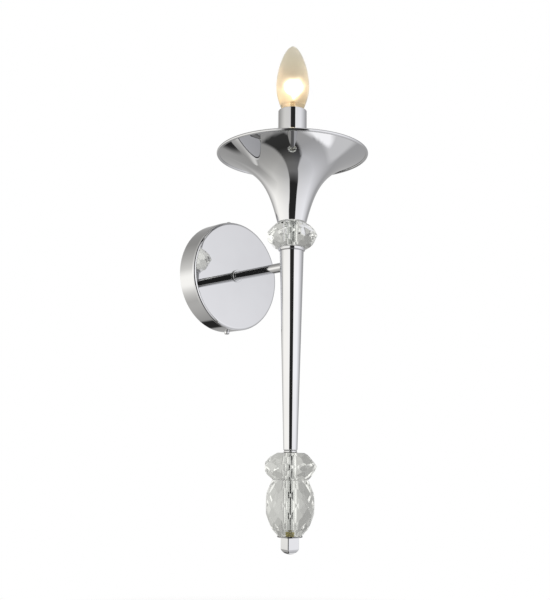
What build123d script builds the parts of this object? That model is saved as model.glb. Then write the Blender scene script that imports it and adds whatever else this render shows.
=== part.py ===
from build123d import *
import os
from math import asin, atan2, cos, degrees, hypot, radians, sin, sqrt

# Wall sconce: a round canopy, a level arm, a tapered stem with cut crystal beads, and a flared horn
# that holds a candle sleeve and its lamp.
# Origin: centre of the canopy's back, on the wall. +X right, -Y out of the wall, +Z up. Millimetres.

# Canopy, the round cup on the wall
canopy_d = 120.0
canopy_depth = 24.0
canopy_wall = 1.2
canopy_edge = 2.0

# Bracket inside the canopy
bracket_w = 20.0
bracket_t = 2.0
bracket_bend = 3.0
lug_length = 18.0
lug_gap = 0.4
slot_spacing = 80.0
slot_length = 10.0
slot_w = 5.0
cable_hole_d = 10.0
cable_hole_z = 24.0

# Canopy screws, one above and one below
canopy_screw_d = 4.0
canopy_screw_y = 9.0
canopy_screw_length = 8.4
canopy_screw_head_d = 5.6
canopy_screw_head_h = 2.8
canopy_screw_dome = 1.5
canopy_screw_slot_w = 0.9
canopy_screw_slot_depth = 1.0
canopy_washer_d = 6.4
canopy_washer_t = 0.6
canopy_washer_gap = 0.1

# Earth point
earth_z = 10.0
earth_screw_d = 4.0
earth_head_d = 7.0
earth_head_h = 2.4
earth_tag_d = 8.4
earth_tag_t = 0.8
earth_tag_tail_w = 3.0
earth_barrel_wall = 0.5
earth_barrel_length = 5.0

# Terminal block
block_w = 20.0
block_depth = 12.0
block_h = 14.0
block_drop = 14.0
block_edge = 0.8
pole_count = 3
pole_pitch = 6.5
pole_barrel_d = 4.6
pole_screw_d = 2.6
pole_screw_inset = 3.0
pole_screw_recess = 1.5

# Wires
wire_d = 2.0
wire_lead = 6.0
wire_rise = 3.0
wire_spread_bend = 10.0
earth_wire_bend = 6.0
earth_wire_low = 2.5
earth_wire_high = 8.5
hub_wire_bend = 5.0

# Arm, from the canopy to the stem
reach = 110.0
arm_d = 10.0
arm_wall = 1.0
arm_tail = 10.0
arm_collar_d = 13.6
arm_collar_t = 2.0
arm_collar_edge = 0.5
lock_washer_d = 18.0
lock_washer_t = 1.0
lock_nut_across = 14.0
lock_nut_h = 4.0

# Stem, hung on the end of the arm
stem_rise = 14.8
stem_length = 203.0
stem_top_d = 24.9
stem_bottom_d = 14.1
stem_wall = 1.0
stem_end_round = 0.4
hub_recess = 1.8
hub_pass = 1.0
rod_entry = 7.0
top_ring_d = 28.0
top_ring_h = 3.5
top_ring_edge = 0.5
foot_d = 13.4
foot_flange_t = 2.1
foot_spigot_h = 10.0
foot_edge = 0.4

# Crystal beads and the clear pads between crystal and metal
pad_d = 14.0
pad_t = 0.4
bead_d = 53.4
bead_h = 26.2
bead_facets = 9
crown_tilt = 40.0
crown_break_tilt = 60.0
crown_table_r = 13.0
base_tilt = 31.0
base_break_tilt = 52.0
base_table_r = 17.0
bead_turn = -44.0
drop_d = 47.6
drop_bulge_h = 68.6
drop_above = 23.4
drop_below = 30.3
drop_facets = 12
drop_row_step = 9.2
drop_rows_above = 2
drop_rows_below = 3

# Tie rod and the pieces it draws together under the stem
rod_d = 6.0
bead_sleeve_d = 10.0
bush_h = 8.0
drop_washer_d = 25.2
drop_washer_t = 1.0
finial_w = 13.4
finial_h = 16.5
finial_dome = 5.0
finial_turn = -9.0
finial_thread = 9.0

# Nipple, horn and candle sleeve above the stem
nipple_d = 10.0
nipple_wall = 1.0
sleeve_d = 30.2
sleeve_wall = 1.0
sleeve_length = 112.4
sleeve_edge = 0.4
throat_gap = 0.05
horn_h = 74.7
horn_rim_d = 159.0
horn_wall = 1.0
horn_lip_d = 2.2
horn_throat_angle = 14.3
horn_throat_pull = 41.0
horn_rim_angle = 20.3
horn_rim_pull = 46.5
horn_washer_d = 24.0
horn_washer_t = 1.0
horn_nut_across = 17.0
horn_nut_h = 5.0
seat_flange_t = 2.0
seat_spigot_h = 4.0

# Lampholder
holder_d = 27.0
holder_h = 52.0
holder_base_t = 10.0
holder_thread = 8.0
holder_web_t = 6.0
socket_clear = 0.5
socket_floor_d = 13.0
shell_wall = 0.4
shell_rise = 3.0
shell_recess = 1.0
leaf_w = 4.0
leaf_t = 0.5
leaf_x = 5.5
leaf_bend = 1.0
leaf_past = 1.5
holder_terminal_w = 7.0
holder_terminal_h = 9.0
holder_terminal_wall = 0.4
contact_gap = 0.3

# Candle lamp with a small screw cap
lamp_d = 35.0
lamp_wall = 0.8
lamp_cap_h = 25.2
lamp_glass_h = 78.8
lamp_widest = 32.5
lamp_neck_d = 16.8
neck_recess = 5.7
lamp_shoulder_pull = 10.2
lamp_shoulder_angle = 20.8
lamp_belly_pull = 11.5
lamp_crown_pull = 22.0
lamp_tip_pull = 7.4
cap_thread_d = 13.9
cap_wall = 0.4
cap_skirt_h = 5.0
cap_skirt_d = 17.4
insulator_h = 2.3
insulator_spigot_h = 1.0
insulator_bottom_d = 8.0
tip_d = 5.0
tip_h = 3.0
tip_dome = 1.0
mount_h = 17.0
mount_top_d = 5.0
filament_d = 0.7
lead_h = 4.0
filament_rise = 15.0
filament_w = 12.0
filament_bend = 2.0

# Clearances
thread_gap = 0.05
hole_gap = 0.2
slip_gap = 0.1
screw_relief = 0.3

# Largest rounding of a tube's end, as a share of its wall
round_limit = 0.45

os.makedirs("parts", exist_ok=True)

# Radii that several pieces share
canopy_r = canopy_d / 2
canopy_inner_r = canopy_r - canopy_wall
arm_r = arm_d / 2
arm_bore_r = arm_r - arm_wall
arm_hole_r = arm_r + thread_gap
nipple_r = nipple_d / 2
nipple_bore_r = nipple_r - nipple_wall
nipple_thread_r = nipple_r + thread_gap
nipple_hole_r = nipple_r + hole_gap
rod_r = rod_d / 2
rod_hole_r = rod_r + hole_gap
bead_sleeve_r = bead_sleeve_d / 2
upper_bore_r = nipple_r + hole_gap
lower_bore_r = bead_sleeve_r + hole_gap
pad_hole_r = max(upper_bore_r, lower_bore_r)
wire_r = wire_d / 2
wire_x = min(arm_bore_r, nipple_bore_r) / 2
wire_hole_r = wire_r + slip_gap
sleeve_r = sleeve_d / 2
sleeve_bore_r = sleeve_r - sleeve_wall
shell_inner_r = cap_thread_d / 2 + hole_gap
shell_outer_r = shell_inner_r + shell_wall
canopy_screw_r = canopy_screw_d / 2
lug_hole_r = canopy_screw_r + thread_gap

# Depths from the wall
canopy_face_inner = canopy_depth - canopy_wall
arm_mouth = canopy_depth - arm_tail
arm_end = reach - arm_r - hub_pass
block_mid = bracket_t + block_depth / 2
block_front = bracket_t + block_depth

# Heights, counted from the arm's axis
top_ring_z = stem_rise
upper_pad_z = top_ring_z + top_ring_h
upper_bead_z = upper_pad_z + pad_t
horn_pad_z = upper_bead_z + bead_h
horn_z = horn_pad_z + pad_t
horn_washer_z = horn_z + horn_wall
horn_nut_z = horn_washer_z + horn_washer_t
seat_z = horn_nut_z + horn_nut_h
sleeve_z = seat_z + seat_flange_t
sleeve_top = sleeve_z + sleeve_length
glass_z = sleeve_top - neck_recess
skirt_z = glass_z - cap_skirt_h
holder_top = skirt_z - socket_clear
holder_z = holder_top - holder_h
chamber_z = holder_z + holder_base_t
lamp_tip_z = glass_z - lamp_cap_h
socket_floor = lamp_tip_z - contact_gap - leaf_t
chamber_top = socket_floor - holder_web_t
shell_z = socket_floor + shell_rise
stem_bottom = stem_rise - stem_length
foot_bottom = stem_bottom - foot_flange_t
middle_bead_top = foot_bottom - pad_t
middle_bead_z = middle_bead_top - bead_h
drop_top = middle_bead_z - pad_t
drop_mid = drop_top - drop_above
drop_bottom = drop_mid - drop_below
drop_washer_top = drop_bottom - pad_t
finial_top = drop_washer_top - drop_washer_t
bush_top = drop_washer_top + bush_h
hub_top = stem_rise - hub_recess
hub_bottom = -hub_top
nipple_bottom = arm_r + hub_pass
nipple_top = holder_z + holder_thread
rod_top = hub_bottom + rod_entry
rod_bottom = finial_top - finial_thread
block_top = -block_drop

# Planes and axes: upright through the stem, and level at a height on the stem's axis
stem_axis = Axis((0, -reach, 0), (0, 0, 1))
stem_plane = Plane.XZ.offset(reach)


def stem_level(height):
    """Level plane centred on the stem's axis."""
    return Plane(origin=(0, -reach, height))


def turned_profile(*points):
    """Closed outline through (radius, height) points, in the upright plane on the stem's axis."""
    with BuildSketch(stem_plane) as profile:
        with BuildLine():
            Polyline(*points, close=True)
        make_face()
    return profile.sketch


def ring_profile(plane, outer_r, inner_r):
    """Flat ring on a plane, centred on its origin."""
    with BuildSketch(plane) as profile:
        Circle(outer_r)
        Circle(inner_r, mode=Mode.SUBTRACT)
    return profile.sketch


def hex_profile(plane, across, hole_r):
    """Hexagon nut outline with its hole, on a plane."""
    with BuildSketch(plane) as profile:
        RegularPolygon(across / 2, 6, major_radius=False)
        Circle(hole_r, mode=Mode.SUBTRACT)
    return profile.sketch


def facet_plane(radius, height, tilt, bearing):
    """Plane of one cut facet: it meets (radius, height) at a bearing and leans up by a tilt."""
    outward = Vector(cos(radians(bearing)), sin(radians(bearing)), 0)
    normal = outward * cos(radians(tilt)) + Vector(0, 0, sin(radians(tilt)))
    return Plane(origin=Vector(0, -reach, height) + outward * radius, z_dir=normal)


def stem_inner_r(height):
    """Radius of the tapered stem's inside at a height."""
    share = (height - stem_bottom) / stem_length
    return (stem_bottom_d + (stem_top_d - stem_bottom_d) * share) / 2 - stem_wall


def horn_curve(inset):
    """Four control points of the horn's flare, moved in from the outside by an inset."""
    lean = radians(horn_throat_angle)
    rise = radians(horn_rim_angle)
    throat = Vector(sleeve_r + throat_gap, horn_z)
    rim = Vector(horn_rim_d / 2 - horn_lip_d / 2, horn_z + horn_h - horn_lip_d / 2)
    throat += Vector(-cos(lean), sin(lean)) * inset
    rim += Vector(-sin(rise), cos(rise)) * inset
    throat_handle = throat + Vector(sin(lean), cos(lean)) * horn_throat_pull
    rim_handle = rim - Vector(cos(rise), sin(rise)) * horn_rim_pull
    return throat, throat_handle, rim_handle, rim


def lamp_profile(inset):
    """Half outline of the candle lamp's glass, moved in from the outside by an inset."""
    shoulder = radians(lamp_shoulder_angle)
    neck = Vector(lamp_neck_d / 2 - inset, glass_z)
    belly = Vector(lamp_d / 2 - inset, glass_z + lamp_widest)
    tip = Vector(0, glass_z + lamp_glass_h - inset)
    neck_handle = neck + Vector(sin(shoulder), cos(shoulder)) * lamp_shoulder_pull
    with BuildSketch(stem_plane) as profile:
        with BuildLine():
            Bezier(neck, neck_handle, belly - Vector(0, lamp_belly_pull), belly)
            Bezier(belly, belly + Vector(0, lamp_crown_pull), tip + Vector(lamp_tip_pull, 0), tip)
            Polyline(tip, Vector(0, glass_z), neck)
        make_face()
    return profile.sketch


def wire_tube(points, bends):
    """Wire along straight runs joined by round bends."""
    with BuildPart() as wire:
        with BuildLine() as route:
            FilletPolyline(*points, radius=bends)
        with BuildSketch(Plane(origin=route.line @ 0, z_dir=route.line % 0)):
            Circle(wire_r)
        sweep()
    return wire.part


# Wall bracket: a strap on the wall with a bent lug at each end for the canopy screws
lug_z = sqrt(canopy_inner_r**2 - (bracket_w / 2) ** 2) - lug_gap
with BuildPart() as wall_bracket:
    with BuildSketch(Plane.YZ):
        with BuildLine():
            FilletPolyline(
                (-lug_length, bracket_t / 2 - lug_z),
                (-bracket_t / 2, bracket_t / 2 - lug_z),
                (-bracket_t / 2, lug_z - bracket_t / 2),
                (-lug_length, lug_z - bracket_t / 2),
                radius=bracket_bend,
            )
        trace(line_width=bracket_t)
    extrude(amount=bracket_w / 2, both=True)
    with BuildSketch(Plane.XZ):
        with Locations((0, slot_spacing / 2), (0, -slot_spacing / 2)):
            SlotOverall(slot_length, slot_w, rotation=90)
        with Locations((0, cable_hole_z)):
            Circle(cable_hole_d / 2)
        with Locations((0, earth_z)):
            Circle(earth_screw_d / 2 + thread_gap)
    extrude(amount=bracket_t, mode=Mode.SUBTRACT)
    with BuildSketch(Plane(origin=(0, -canopy_screw_y, 0))):
        Circle(lug_hole_r)
    extrude(amount=canopy_r, both=True, mode=Mode.SUBTRACT)
wall_bracket.part.label = "wall_bracket"
export_step(wall_bracket.part, "parts/wall_bracket.step")

# Canopy: a shallow round cup, open to the wall, with holes for the arm and the two screws
with BuildPart() as canopy:
    with BuildSketch(Plane.XZ):
        Circle(canopy_r)
    extrude(amount=canopy_depth)
    fillet(canopy.edges().sort_by(Axis.Y)[0], radius=canopy_edge)
    with BuildSketch(Plane.XZ):
        Circle(canopy_inner_r)
    extrude(amount=canopy_face_inner, mode=Mode.SUBTRACT)
    with BuildSketch(Plane.XZ):
        Circle(arm_r + hole_gap)
    extrude(amount=canopy_depth, mode=Mode.SUBTRACT)
    with BuildSketch(Plane(origin=(0, -canopy_screw_y, 0))):
        Circle(canopy_screw_r + hole_gap)
    extrude(amount=canopy_d, both=True, mode=Mode.SUBTRACT)
canopy.part.label = "canopy"
export_step(canopy.part, "parts/canopy.step")

# Canopy screws and their captive washers, the same above and below
for side, up in (("top", 1), ("bottom", -1)):
    washer_seat = Plane(
        origin=(0, -canopy_screw_y, up * (canopy_r + canopy_washer_gap)),
        x_dir=(1, 0, 0),
        z_dir=(0, 0, up),
    )
    head_seat = washer_seat.offset(canopy_washer_t)
    with BuildPart() as screw_washer:
        extrude(
            ring_profile(washer_seat, canopy_washer_d / 2, canopy_screw_r + hole_gap),
            amount=canopy_washer_t,
        )
    screw_washer.part.label = f"screw_washer_{side}"
    export_step(screw_washer.part, f"parts/screw_washer_{side}.step")

    with BuildPart() as canopy_screw:
        with BuildSketch(head_seat):
            Circle(canopy_screw_head_d / 2)
        extrude(amount=canopy_screw_head_h)
        fillet(
            canopy_screw.edges().filter_by(GeomType.CIRCLE).sort_by(Axis((0, 0, 0), (0, 0, up)))[-1],
            radius=canopy_screw_dome,
        )
        with BuildSketch(head_seat.offset(canopy_screw_head_h)):
            Rectangle(canopy_screw_head_d, canopy_screw_slot_w)
        extrude(amount=-canopy_screw_slot_depth, mode=Mode.SUBTRACT)
        with BuildSketch(head_seat):
            Circle(canopy_screw_r)
        extrude(amount=-canopy_screw_length)
    canopy_screw.part.label = f"canopy_screw_{side}"
    export_step(canopy_screw.part, f"parts/canopy_screw_{side}.step")

# Terminal block: an insulating bar on the bracket with one upright bore for each pole
pole_places = [((pole - (pole_count - 1) / 2) * pole_pitch, -block_mid) for pole in range(pole_count)]
pole_screw_heights = (block_top - pole_screw_inset, block_top - block_h + pole_screw_inset)
pole_screw_places = [(x, height) for x, y in pole_places for height in pole_screw_heights]
pole_screw_tip = block_mid + wire_hole_r
with BuildPart() as terminal_block:
    with BuildSketch(Plane.XZ.offset(bracket_t)):
        with Locations((0, block_top - block_h / 2)):
            RectangleRounded(block_w, block_h, block_edge)
    extrude(amount=block_depth)
    with BuildSketch(Plane.XY.offset(block_top)):
        with Locations(*pole_places):
            Circle(pole_barrel_d / 2 + thread_gap)
    extrude(amount=-block_h, mode=Mode.SUBTRACT)
    with BuildSketch(Plane.XZ.offset(block_front)):
        with Locations(*pole_screw_places):
            Circle(pole_screw_d / 2 + hole_gap)
    extrude(amount=-block_depth / 2, mode=Mode.SUBTRACT)
terminal_block.part.label = "terminal_block"
export_step(terminal_block.part, "parts/terminal_block.step")

# Brass barrels in the terminal block, drilled for the wires and tapped for their screws
with BuildPart() as terminal_barrels:
    with BuildSketch(Plane.XY.offset(block_top)):
        with Locations(*pole_places):
            Circle(pole_barrel_d / 2)
            Circle(wire_hole_r, mode=Mode.SUBTRACT)
    extrude(amount=-block_h)
    with BuildSketch(Plane.XZ.offset(block_front)):
        with Locations(*pole_screw_places):
            Circle(pole_screw_d / 2 + thread_gap)
    extrude(amount=-block_depth / 2, mode=Mode.SUBTRACT)
terminal_barrels.part.label = "terminal_barrels"
export_step(terminal_barrels.part, "parts/terminal_barrels.step")

# Terminal screws, two to a pole
with BuildPart() as terminal_screws:
    with BuildSketch(Plane.XZ.offset(pole_screw_tip)):
        with Locations(*pole_screw_places):
            Circle(pole_screw_d / 2)
    extrude(amount=block_front - pole_screw_recess - pole_screw_tip)
terminal_screws.part.label = "terminal_screws"
export_step(terminal_screws.part, "parts/terminal_screws.step")

# Earth tag: a ring under the earth screw with a crimped barrel for the wire
earth_barrel_r = wire_hole_r + earth_barrel_wall
earth_wire_y = -bracket_t - earth_barrel_r
earth_barrel_top = earth_z - earth_tag_d / 2
earth_barrel_z = earth_barrel_top - earth_barrel_length
with BuildPart() as earth_tag:
    with BuildSketch(Plane.XZ.offset(bracket_t)):
        with Locations((0, earth_z)):
            Circle(earth_tag_d / 2)
        with Locations((0, (earth_z + earth_barrel_z) / 2)):
            Rectangle(earth_tag_tail_w, earth_z - earth_barrel_z)
        with Locations((0, earth_z)):
            Circle(earth_screw_d / 2 + hole_gap, mode=Mode.SUBTRACT)
    extrude(amount=earth_tag_t)
    with BuildSketch(Plane(origin=(0, earth_wire_y, earth_barrel_z))):
        Circle(earth_barrel_r)
    extrude(amount=earth_barrel_length)
    with BuildSketch(Plane(origin=(0, earth_wire_y, earth_barrel_z))):
        Circle(wire_hole_r)
    extrude(amount=earth_barrel_length, mode=Mode.SUBTRACT)
earth_tag.part.label = "earth_tag"
export_step(earth_tag.part, "parts/earth_tag.step")

# Earth screw through the tag into the bracket
with BuildPart() as earth_screw:
    with BuildSketch(Plane.XZ.offset(bracket_t + earth_tag_t)):
        with Locations((0, earth_z)):
            Circle(earth_head_d / 2)
    extrude(amount=earth_head_h)
    fillet(earth_screw.edges().filter_by(GeomType.CIRCLE).sort_by(Axis.Y)[0], radius=earth_head_h / 2)
    with BuildSketch(Plane.XZ.offset(screw_relief)):
        with Locations((0, earth_z)):
            Circle(earth_screw_d / 2)
    extrude(amount=bracket_t + earth_tag_t - screw_relief)
earth_screw.part.label = "earth_screw"
export_step(earth_screw.part, "parts/earth_screw.step")

# Arm: a straight tube from inside the canopy to the hub in the stem
with BuildPart() as arm_tube:
    extrude(ring_profile(Plane.XZ.offset(arm_mouth), arm_r, arm_bore_r), amount=arm_end - arm_mouth)
arm_tube.part.label = "arm_tube"
export_step(arm_tube.part, "parts/arm_tube.step")

# Collar where the arm meets the canopy
with BuildPart() as arm_collar:
    extrude(ring_profile(Plane.XZ.offset(canopy_depth), arm_collar_d / 2, arm_hole_r), amount=arm_collar_t)
    chamfer(arm_collar.edges().filter_by(GeomType.CIRCLE).sort_by(SortBy.RADIUS)[-2:], arm_collar_edge)
arm_collar.part.label = "arm_collar"
export_step(arm_collar.part, "parts/arm_collar.step")

# Lock washer and lock nut that clamp the arm from inside the canopy
lock_washer_back = canopy_face_inner - lock_washer_t
lock_nut_back = lock_washer_back - lock_nut_h
with BuildPart() as arm_lock_washer:
    extrude(
        ring_profile(Plane.XZ.offset(lock_washer_back), lock_washer_d / 2, arm_hole_r),
        amount=lock_washer_t,
    )
arm_lock_washer.part.label = "arm_lock_washer"
export_step(arm_lock_washer.part, "parts/arm_lock_washer.step")

with BuildPart() as arm_lock_nut:
    extrude(hex_profile(Plane.XZ.offset(lock_nut_back), lock_nut_across, arm_hole_r), amount=lock_nut_h)
arm_lock_nut.part.label = "arm_lock_nut"
export_step(arm_lock_nut.part, "parts/arm_lock_nut.step")

# Stem: a long tapered tube, widest at the top, with a hole in its wall side for the arm
with BuildPart() as stem:
    revolve(
        turned_profile(
            (stem_inner_r(stem_bottom), stem_bottom),
            (stem_bottom_d / 2, stem_bottom),
            (stem_top_d / 2, stem_rise),
            (stem_inner_r(stem_rise), stem_rise),
        ),
        axis=stem_axis,
    )
    fillet(
        stem.edges().filter_by(GeomType.CIRCLE).group_by(Axis.Z)[0].sort_by(SortBy.RADIUS)[-1],
        radius=min(stem_end_round, stem_wall * round_limit),
    )
    with BuildSketch(stem_plane):
        Circle(arm_r + hole_gap)
    extrude(amount=-stem_top_d, mode=Mode.SUBTRACT)
stem.part.label = "stem"
export_step(stem.part, "parts/stem.step")

# Hub inside the stem: takes the arm from the side, the nipple from above and the tie rod from below
hub_r = stem_inner_r(hub_bottom) - slip_gap
with BuildPart() as stem_hub:
    with BuildSketch(stem_level(hub_bottom)):
        Circle(hub_r)
    extrude(amount=hub_top - hub_bottom)
    with BuildSketch(Plane.XZ.offset(reach + arm_r)):
        Circle(arm_hole_r)
    extrude(amount=-arm_r - stem_top_d, mode=Mode.SUBTRACT)
    with BuildSketch(stem_level(-arm_r)):
        Circle(nipple_thread_r)
    extrude(amount=hub_top + arm_r, mode=Mode.SUBTRACT)
    with BuildSketch(stem_level(hub_bottom)):
        Circle(rod_r + thread_gap)
    extrude(amount=rod_entry, mode=Mode.SUBTRACT)
stem_hub.part.label = "stem_hub"
export_step(stem_hub.part, "parts/stem_hub.step")

# Ring on the stem's top, under the upper bead
with BuildPart() as stem_top_ring:
    extrude(ring_profile(stem_level(top_ring_z), top_ring_d / 2, nipple_hole_r), amount=top_ring_h)
    fillet(
        stem_top_ring.edges().filter_by(GeomType.CIRCLE).sort_by(SortBy.RADIUS)[-2:],
        radius=top_ring_edge,
    )
stem_top_ring.part.label = "stem_top_ring"
export_step(stem_top_ring.part, "parts/stem_top_ring.step")

# Foot: a spigot in the stem's lower end with a narrow flange below it
foot_spigot_r = stem_inner_r(stem_bottom) - slip_gap
with BuildPart() as stem_foot:
    revolve(
        turned_profile(
            (rod_hole_r, foot_bottom),
            (foot_d / 2, foot_bottom),
            (foot_d / 2, stem_bottom),
            (foot_spigot_r, stem_bottom),
            (foot_spigot_r, stem_bottom + foot_spigot_h),
            (rod_hole_r, stem_bottom + foot_spigot_h),
        ),
        axis=stem_axis,
    )
    chamfer(
        stem_foot.edges().filter_by(GeomType.CIRCLE).group_by(Axis.Z)[0].sort_by(SortBy.RADIUS)[-1],
        foot_edge,
    )
stem_foot.part.label = "stem_foot"
export_step(stem_foot.part, "parts/stem_foot.step")

# Hollow nipple from the hub up to the lampholder
with BuildPart() as nipple:
    extrude(
        ring_profile(stem_level(nipple_bottom), nipple_r, nipple_bore_r),
        amount=nipple_top - nipple_bottom,
    )
nipple.part.label = "nipple"
export_step(nipple.part, "parts/nipple.step")

# Clear pads above and below each crystal
pad_places = (upper_pad_z, horn_pad_z, middle_bead_top, drop_top, drop_washer_top)
with BuildPart() as crystal_pads:
    for pad_z in pad_places:
        extrude(ring_profile(stem_level(pad_z), pad_d / 2, pad_hole_r), amount=pad_t)
crystal_pads.part.label = "crystal_pads"
export_step(crystal_pads.part, "parts/crystal_pads.step")

# Two cut crystal beads: upright belt facets, with main and break facets above and below them
bead_step = 360 / bead_facets
belt_r = bead_d / 2 * cos(radians(bead_step / 2))
for bead_name, bead_z, bore_r in (
    ("upper_bead", upper_bead_z, upper_bore_r),
    ("middle_bead", middle_bead_z, lower_bore_r),
):
    bead_mid = bead_z + bead_h / 2
    with BuildPart() as bead:
        with BuildSketch(stem_level(bead_z)):
            Circle(bead_d)
        extrude(amount=bead_h)
        for facet in range(bead_facets):
            corner = bead_turn + facet * bead_step
            flat = corner + bead_step / 2
            split(bisect_by=facet_plane(belt_r, bead_mid, 0, flat), keep=Keep.BOTTOM)
            split(bisect_by=facet_plane(bead_d / 2, bead_mid, crown_tilt, corner), keep=Keep.BOTTOM)
            split(bisect_by=facet_plane(bead_d / 2, bead_mid, -base_tilt, corner), keep=Keep.BOTTOM)
            split(
                bisect_by=facet_plane(crown_table_r, bead_z + bead_h, crown_break_tilt, flat),
                keep=Keep.BOTTOM,
            )
            split(bisect_by=facet_plane(base_table_r, bead_z, -base_break_tilt, flat), keep=Keep.BOTTOM)
        with BuildSketch(stem_level(bead_z)):
            Circle(bore_r)
        extrude(amount=bead_h, mode=Mode.SUBTRACT)
    bead.part.label = bead_name
    export_step(bead.part, f"parts/{bead_name}.step")

# Lower crystal drop: rows of facets, each flat against an egg shape, every other row turned by half a step
drop_step = 360 / drop_facets
drop_r = drop_d / 2
bulge = drop_bulge_h / 2
with BuildPart() as lower_drop:
    with BuildSketch(stem_level(drop_bottom)):
        Circle(drop_d)
    extrude(amount=drop_above + drop_below)
    for row in range(-drop_rows_below, drop_rows_above + 1):
        row_angle = asin(row * drop_row_step / bulge)
        row_tilt = degrees(atan2(drop_r * sin(row_angle), bulge * cos(row_angle)))
        row_z = drop_mid + row * drop_row_step
        for facet in range(drop_facets):
            bearing = bead_turn + (facet + row % 2 / 2) * drop_step
            split(
                bisect_by=facet_plane(drop_r * cos(row_angle), row_z, row_tilt, bearing),
                keep=Keep.BOTTOM,
            )
    with BuildSketch(stem_level(drop_bottom)):
        Circle(lower_bore_r)
    extrude(amount=drop_above + drop_below, mode=Mode.SUBTRACT)
lower_drop.part.label = "lower_drop"
export_step(lower_drop.part, "parts/lower_drop.step")

# Tie rod from the hub down into the finial
with BuildPart() as tie_rod:
    with BuildSketch(stem_level(rod_bottom)):
        Circle(rod_r)
    extrude(amount=rod_top - rod_bottom)
tie_rod.part.label = "tie_rod"
export_step(tie_rod.part, "parts/tie_rod.step")

# Tube around the tie rod, seen through the crystal, and the bush it stands on
with BuildPart() as bead_sleeve:
    extrude(ring_profile(stem_level(bush_top), bead_sleeve_r, rod_hole_r), amount=foot_bottom - bush_top)
bead_sleeve.part.label = "bead_sleeve"
export_step(bead_sleeve.part, "parts/bead_sleeve.step")

with BuildPart() as drop_bush:
    extrude(ring_profile(stem_level(drop_washer_top), lower_bore_r - slip_gap, rod_hole_r), amount=bush_h)
drop_bush.part.label = "drop_bush"
export_step(drop_bush.part, "parts/drop_bush.step")

# Washer under the drop
with BuildPart() as drop_washer:
    extrude(ring_profile(stem_level(finial_top), drop_washer_d / 2, rod_hole_r), amount=drop_washer_t)
drop_washer.part.label = "drop_washer"
export_step(drop_washer.part, "parts/drop_washer.step")

# Square finial, tapped for the tie rod, with a four-sided dome below
finial_shoulder = finial_top - finial_h + finial_dome
with BuildPart() as finial:
    for quarter, mode in ((0, Mode.ADD), (90, Mode.INTERSECT)):
        with BuildSketch(stem_plane.rotated((0, 0, finial_turn + quarter)).offset(-finial_w / 2)):
            with BuildLine():
                Polyline(
                    (-finial_w / 2, finial_shoulder),
                    (-finial_w / 2, finial_top),
                    (finial_w / 2, finial_top),
                    (finial_w / 2, finial_shoulder),
                )
                ThreePointArc(
                    (finial_w / 2, finial_shoulder),
                    (0, finial_top - finial_h),
                    (-finial_w / 2, finial_shoulder),
                )
            make_face()
        extrude(amount=finial_w, mode=mode)
    with BuildSketch(stem_level(finial_top)):
        Circle(rod_r + thread_gap)
    extrude(amount=-finial_thread, mode=Mode.SUBTRACT)
finial.part.label = "finial"
export_step(finial.part, "parts/finial.step")

# Horn: a thin flared trumpet with a flat floor and a rolled lip
horn_outside = horn_curve(0)
horn_inside = horn_curve(horn_wall)
with BuildPart() as horn:
    with BuildSketch(stem_plane):
        with BuildLine():
            Bezier(*horn_outside)
            Line(horn_outside[3], horn_inside[3])
            Bezier(*reversed(horn_inside))
            Polyline(
                horn_inside[0],
                (horn_inside[0].X, horn_washer_z),
                (nipple_hole_r, horn_washer_z),
                (nipple_hole_r, horn_z),
                horn_outside[0],
            )
        make_face()
        with Locations((horn_outside[3].X, horn_outside[3].Y)):
            Circle(horn_lip_d / 2)
    revolve(axis=stem_axis)
horn.part.label = "horn"
export_step(horn.part, "parts/horn.step")

# Washer and nut that hold the horn down on the bead
with BuildPart() as horn_washer:
    extrude(ring_profile(stem_level(horn_washer_z), horn_washer_d / 2, nipple_hole_r), amount=horn_washer_t)
horn_washer.part.label = "horn_washer"
export_step(horn_washer.part, "parts/horn_washer.step")

with BuildPart() as horn_nut:
    extrude(hex_profile(stem_level(horn_nut_z), horn_nut_across, nipple_thread_r), amount=horn_nut_h)
horn_nut.part.label = "horn_nut"
export_step(horn_nut.part, "parts/horn_nut.step")

# Stepped seat that carries and centres the candle sleeve
with BuildPart() as sleeve_seat:
    extrude(ring_profile(stem_level(seat_z), sleeve_r, nipple_thread_r), amount=seat_flange_t)
    extrude(
        ring_profile(stem_level(sleeve_z), sleeve_bore_r - slip_gap, nipple_thread_r),
        amount=seat_spigot_h,
    )
sleeve_seat.part.label = "sleeve_seat"
export_step(sleeve_seat.part, "parts/sleeve_seat.step")

# Candle sleeve
with BuildPart() as candle_sleeve:
    extrude(ring_profile(stem_level(sleeve_z), sleeve_r, sleeve_bore_r), amount=sleeve_length)
    fillet(
        candle_sleeve.edges().filter_by(GeomType.CIRCLE).group_by(Axis.Z)[-1],
        radius=min(sleeve_edge, sleeve_wall * round_limit),
    )
candle_sleeve.part.label = "candle_sleeve"
export_step(candle_sleeve.part, "parts/candle_sleeve.step")

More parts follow.
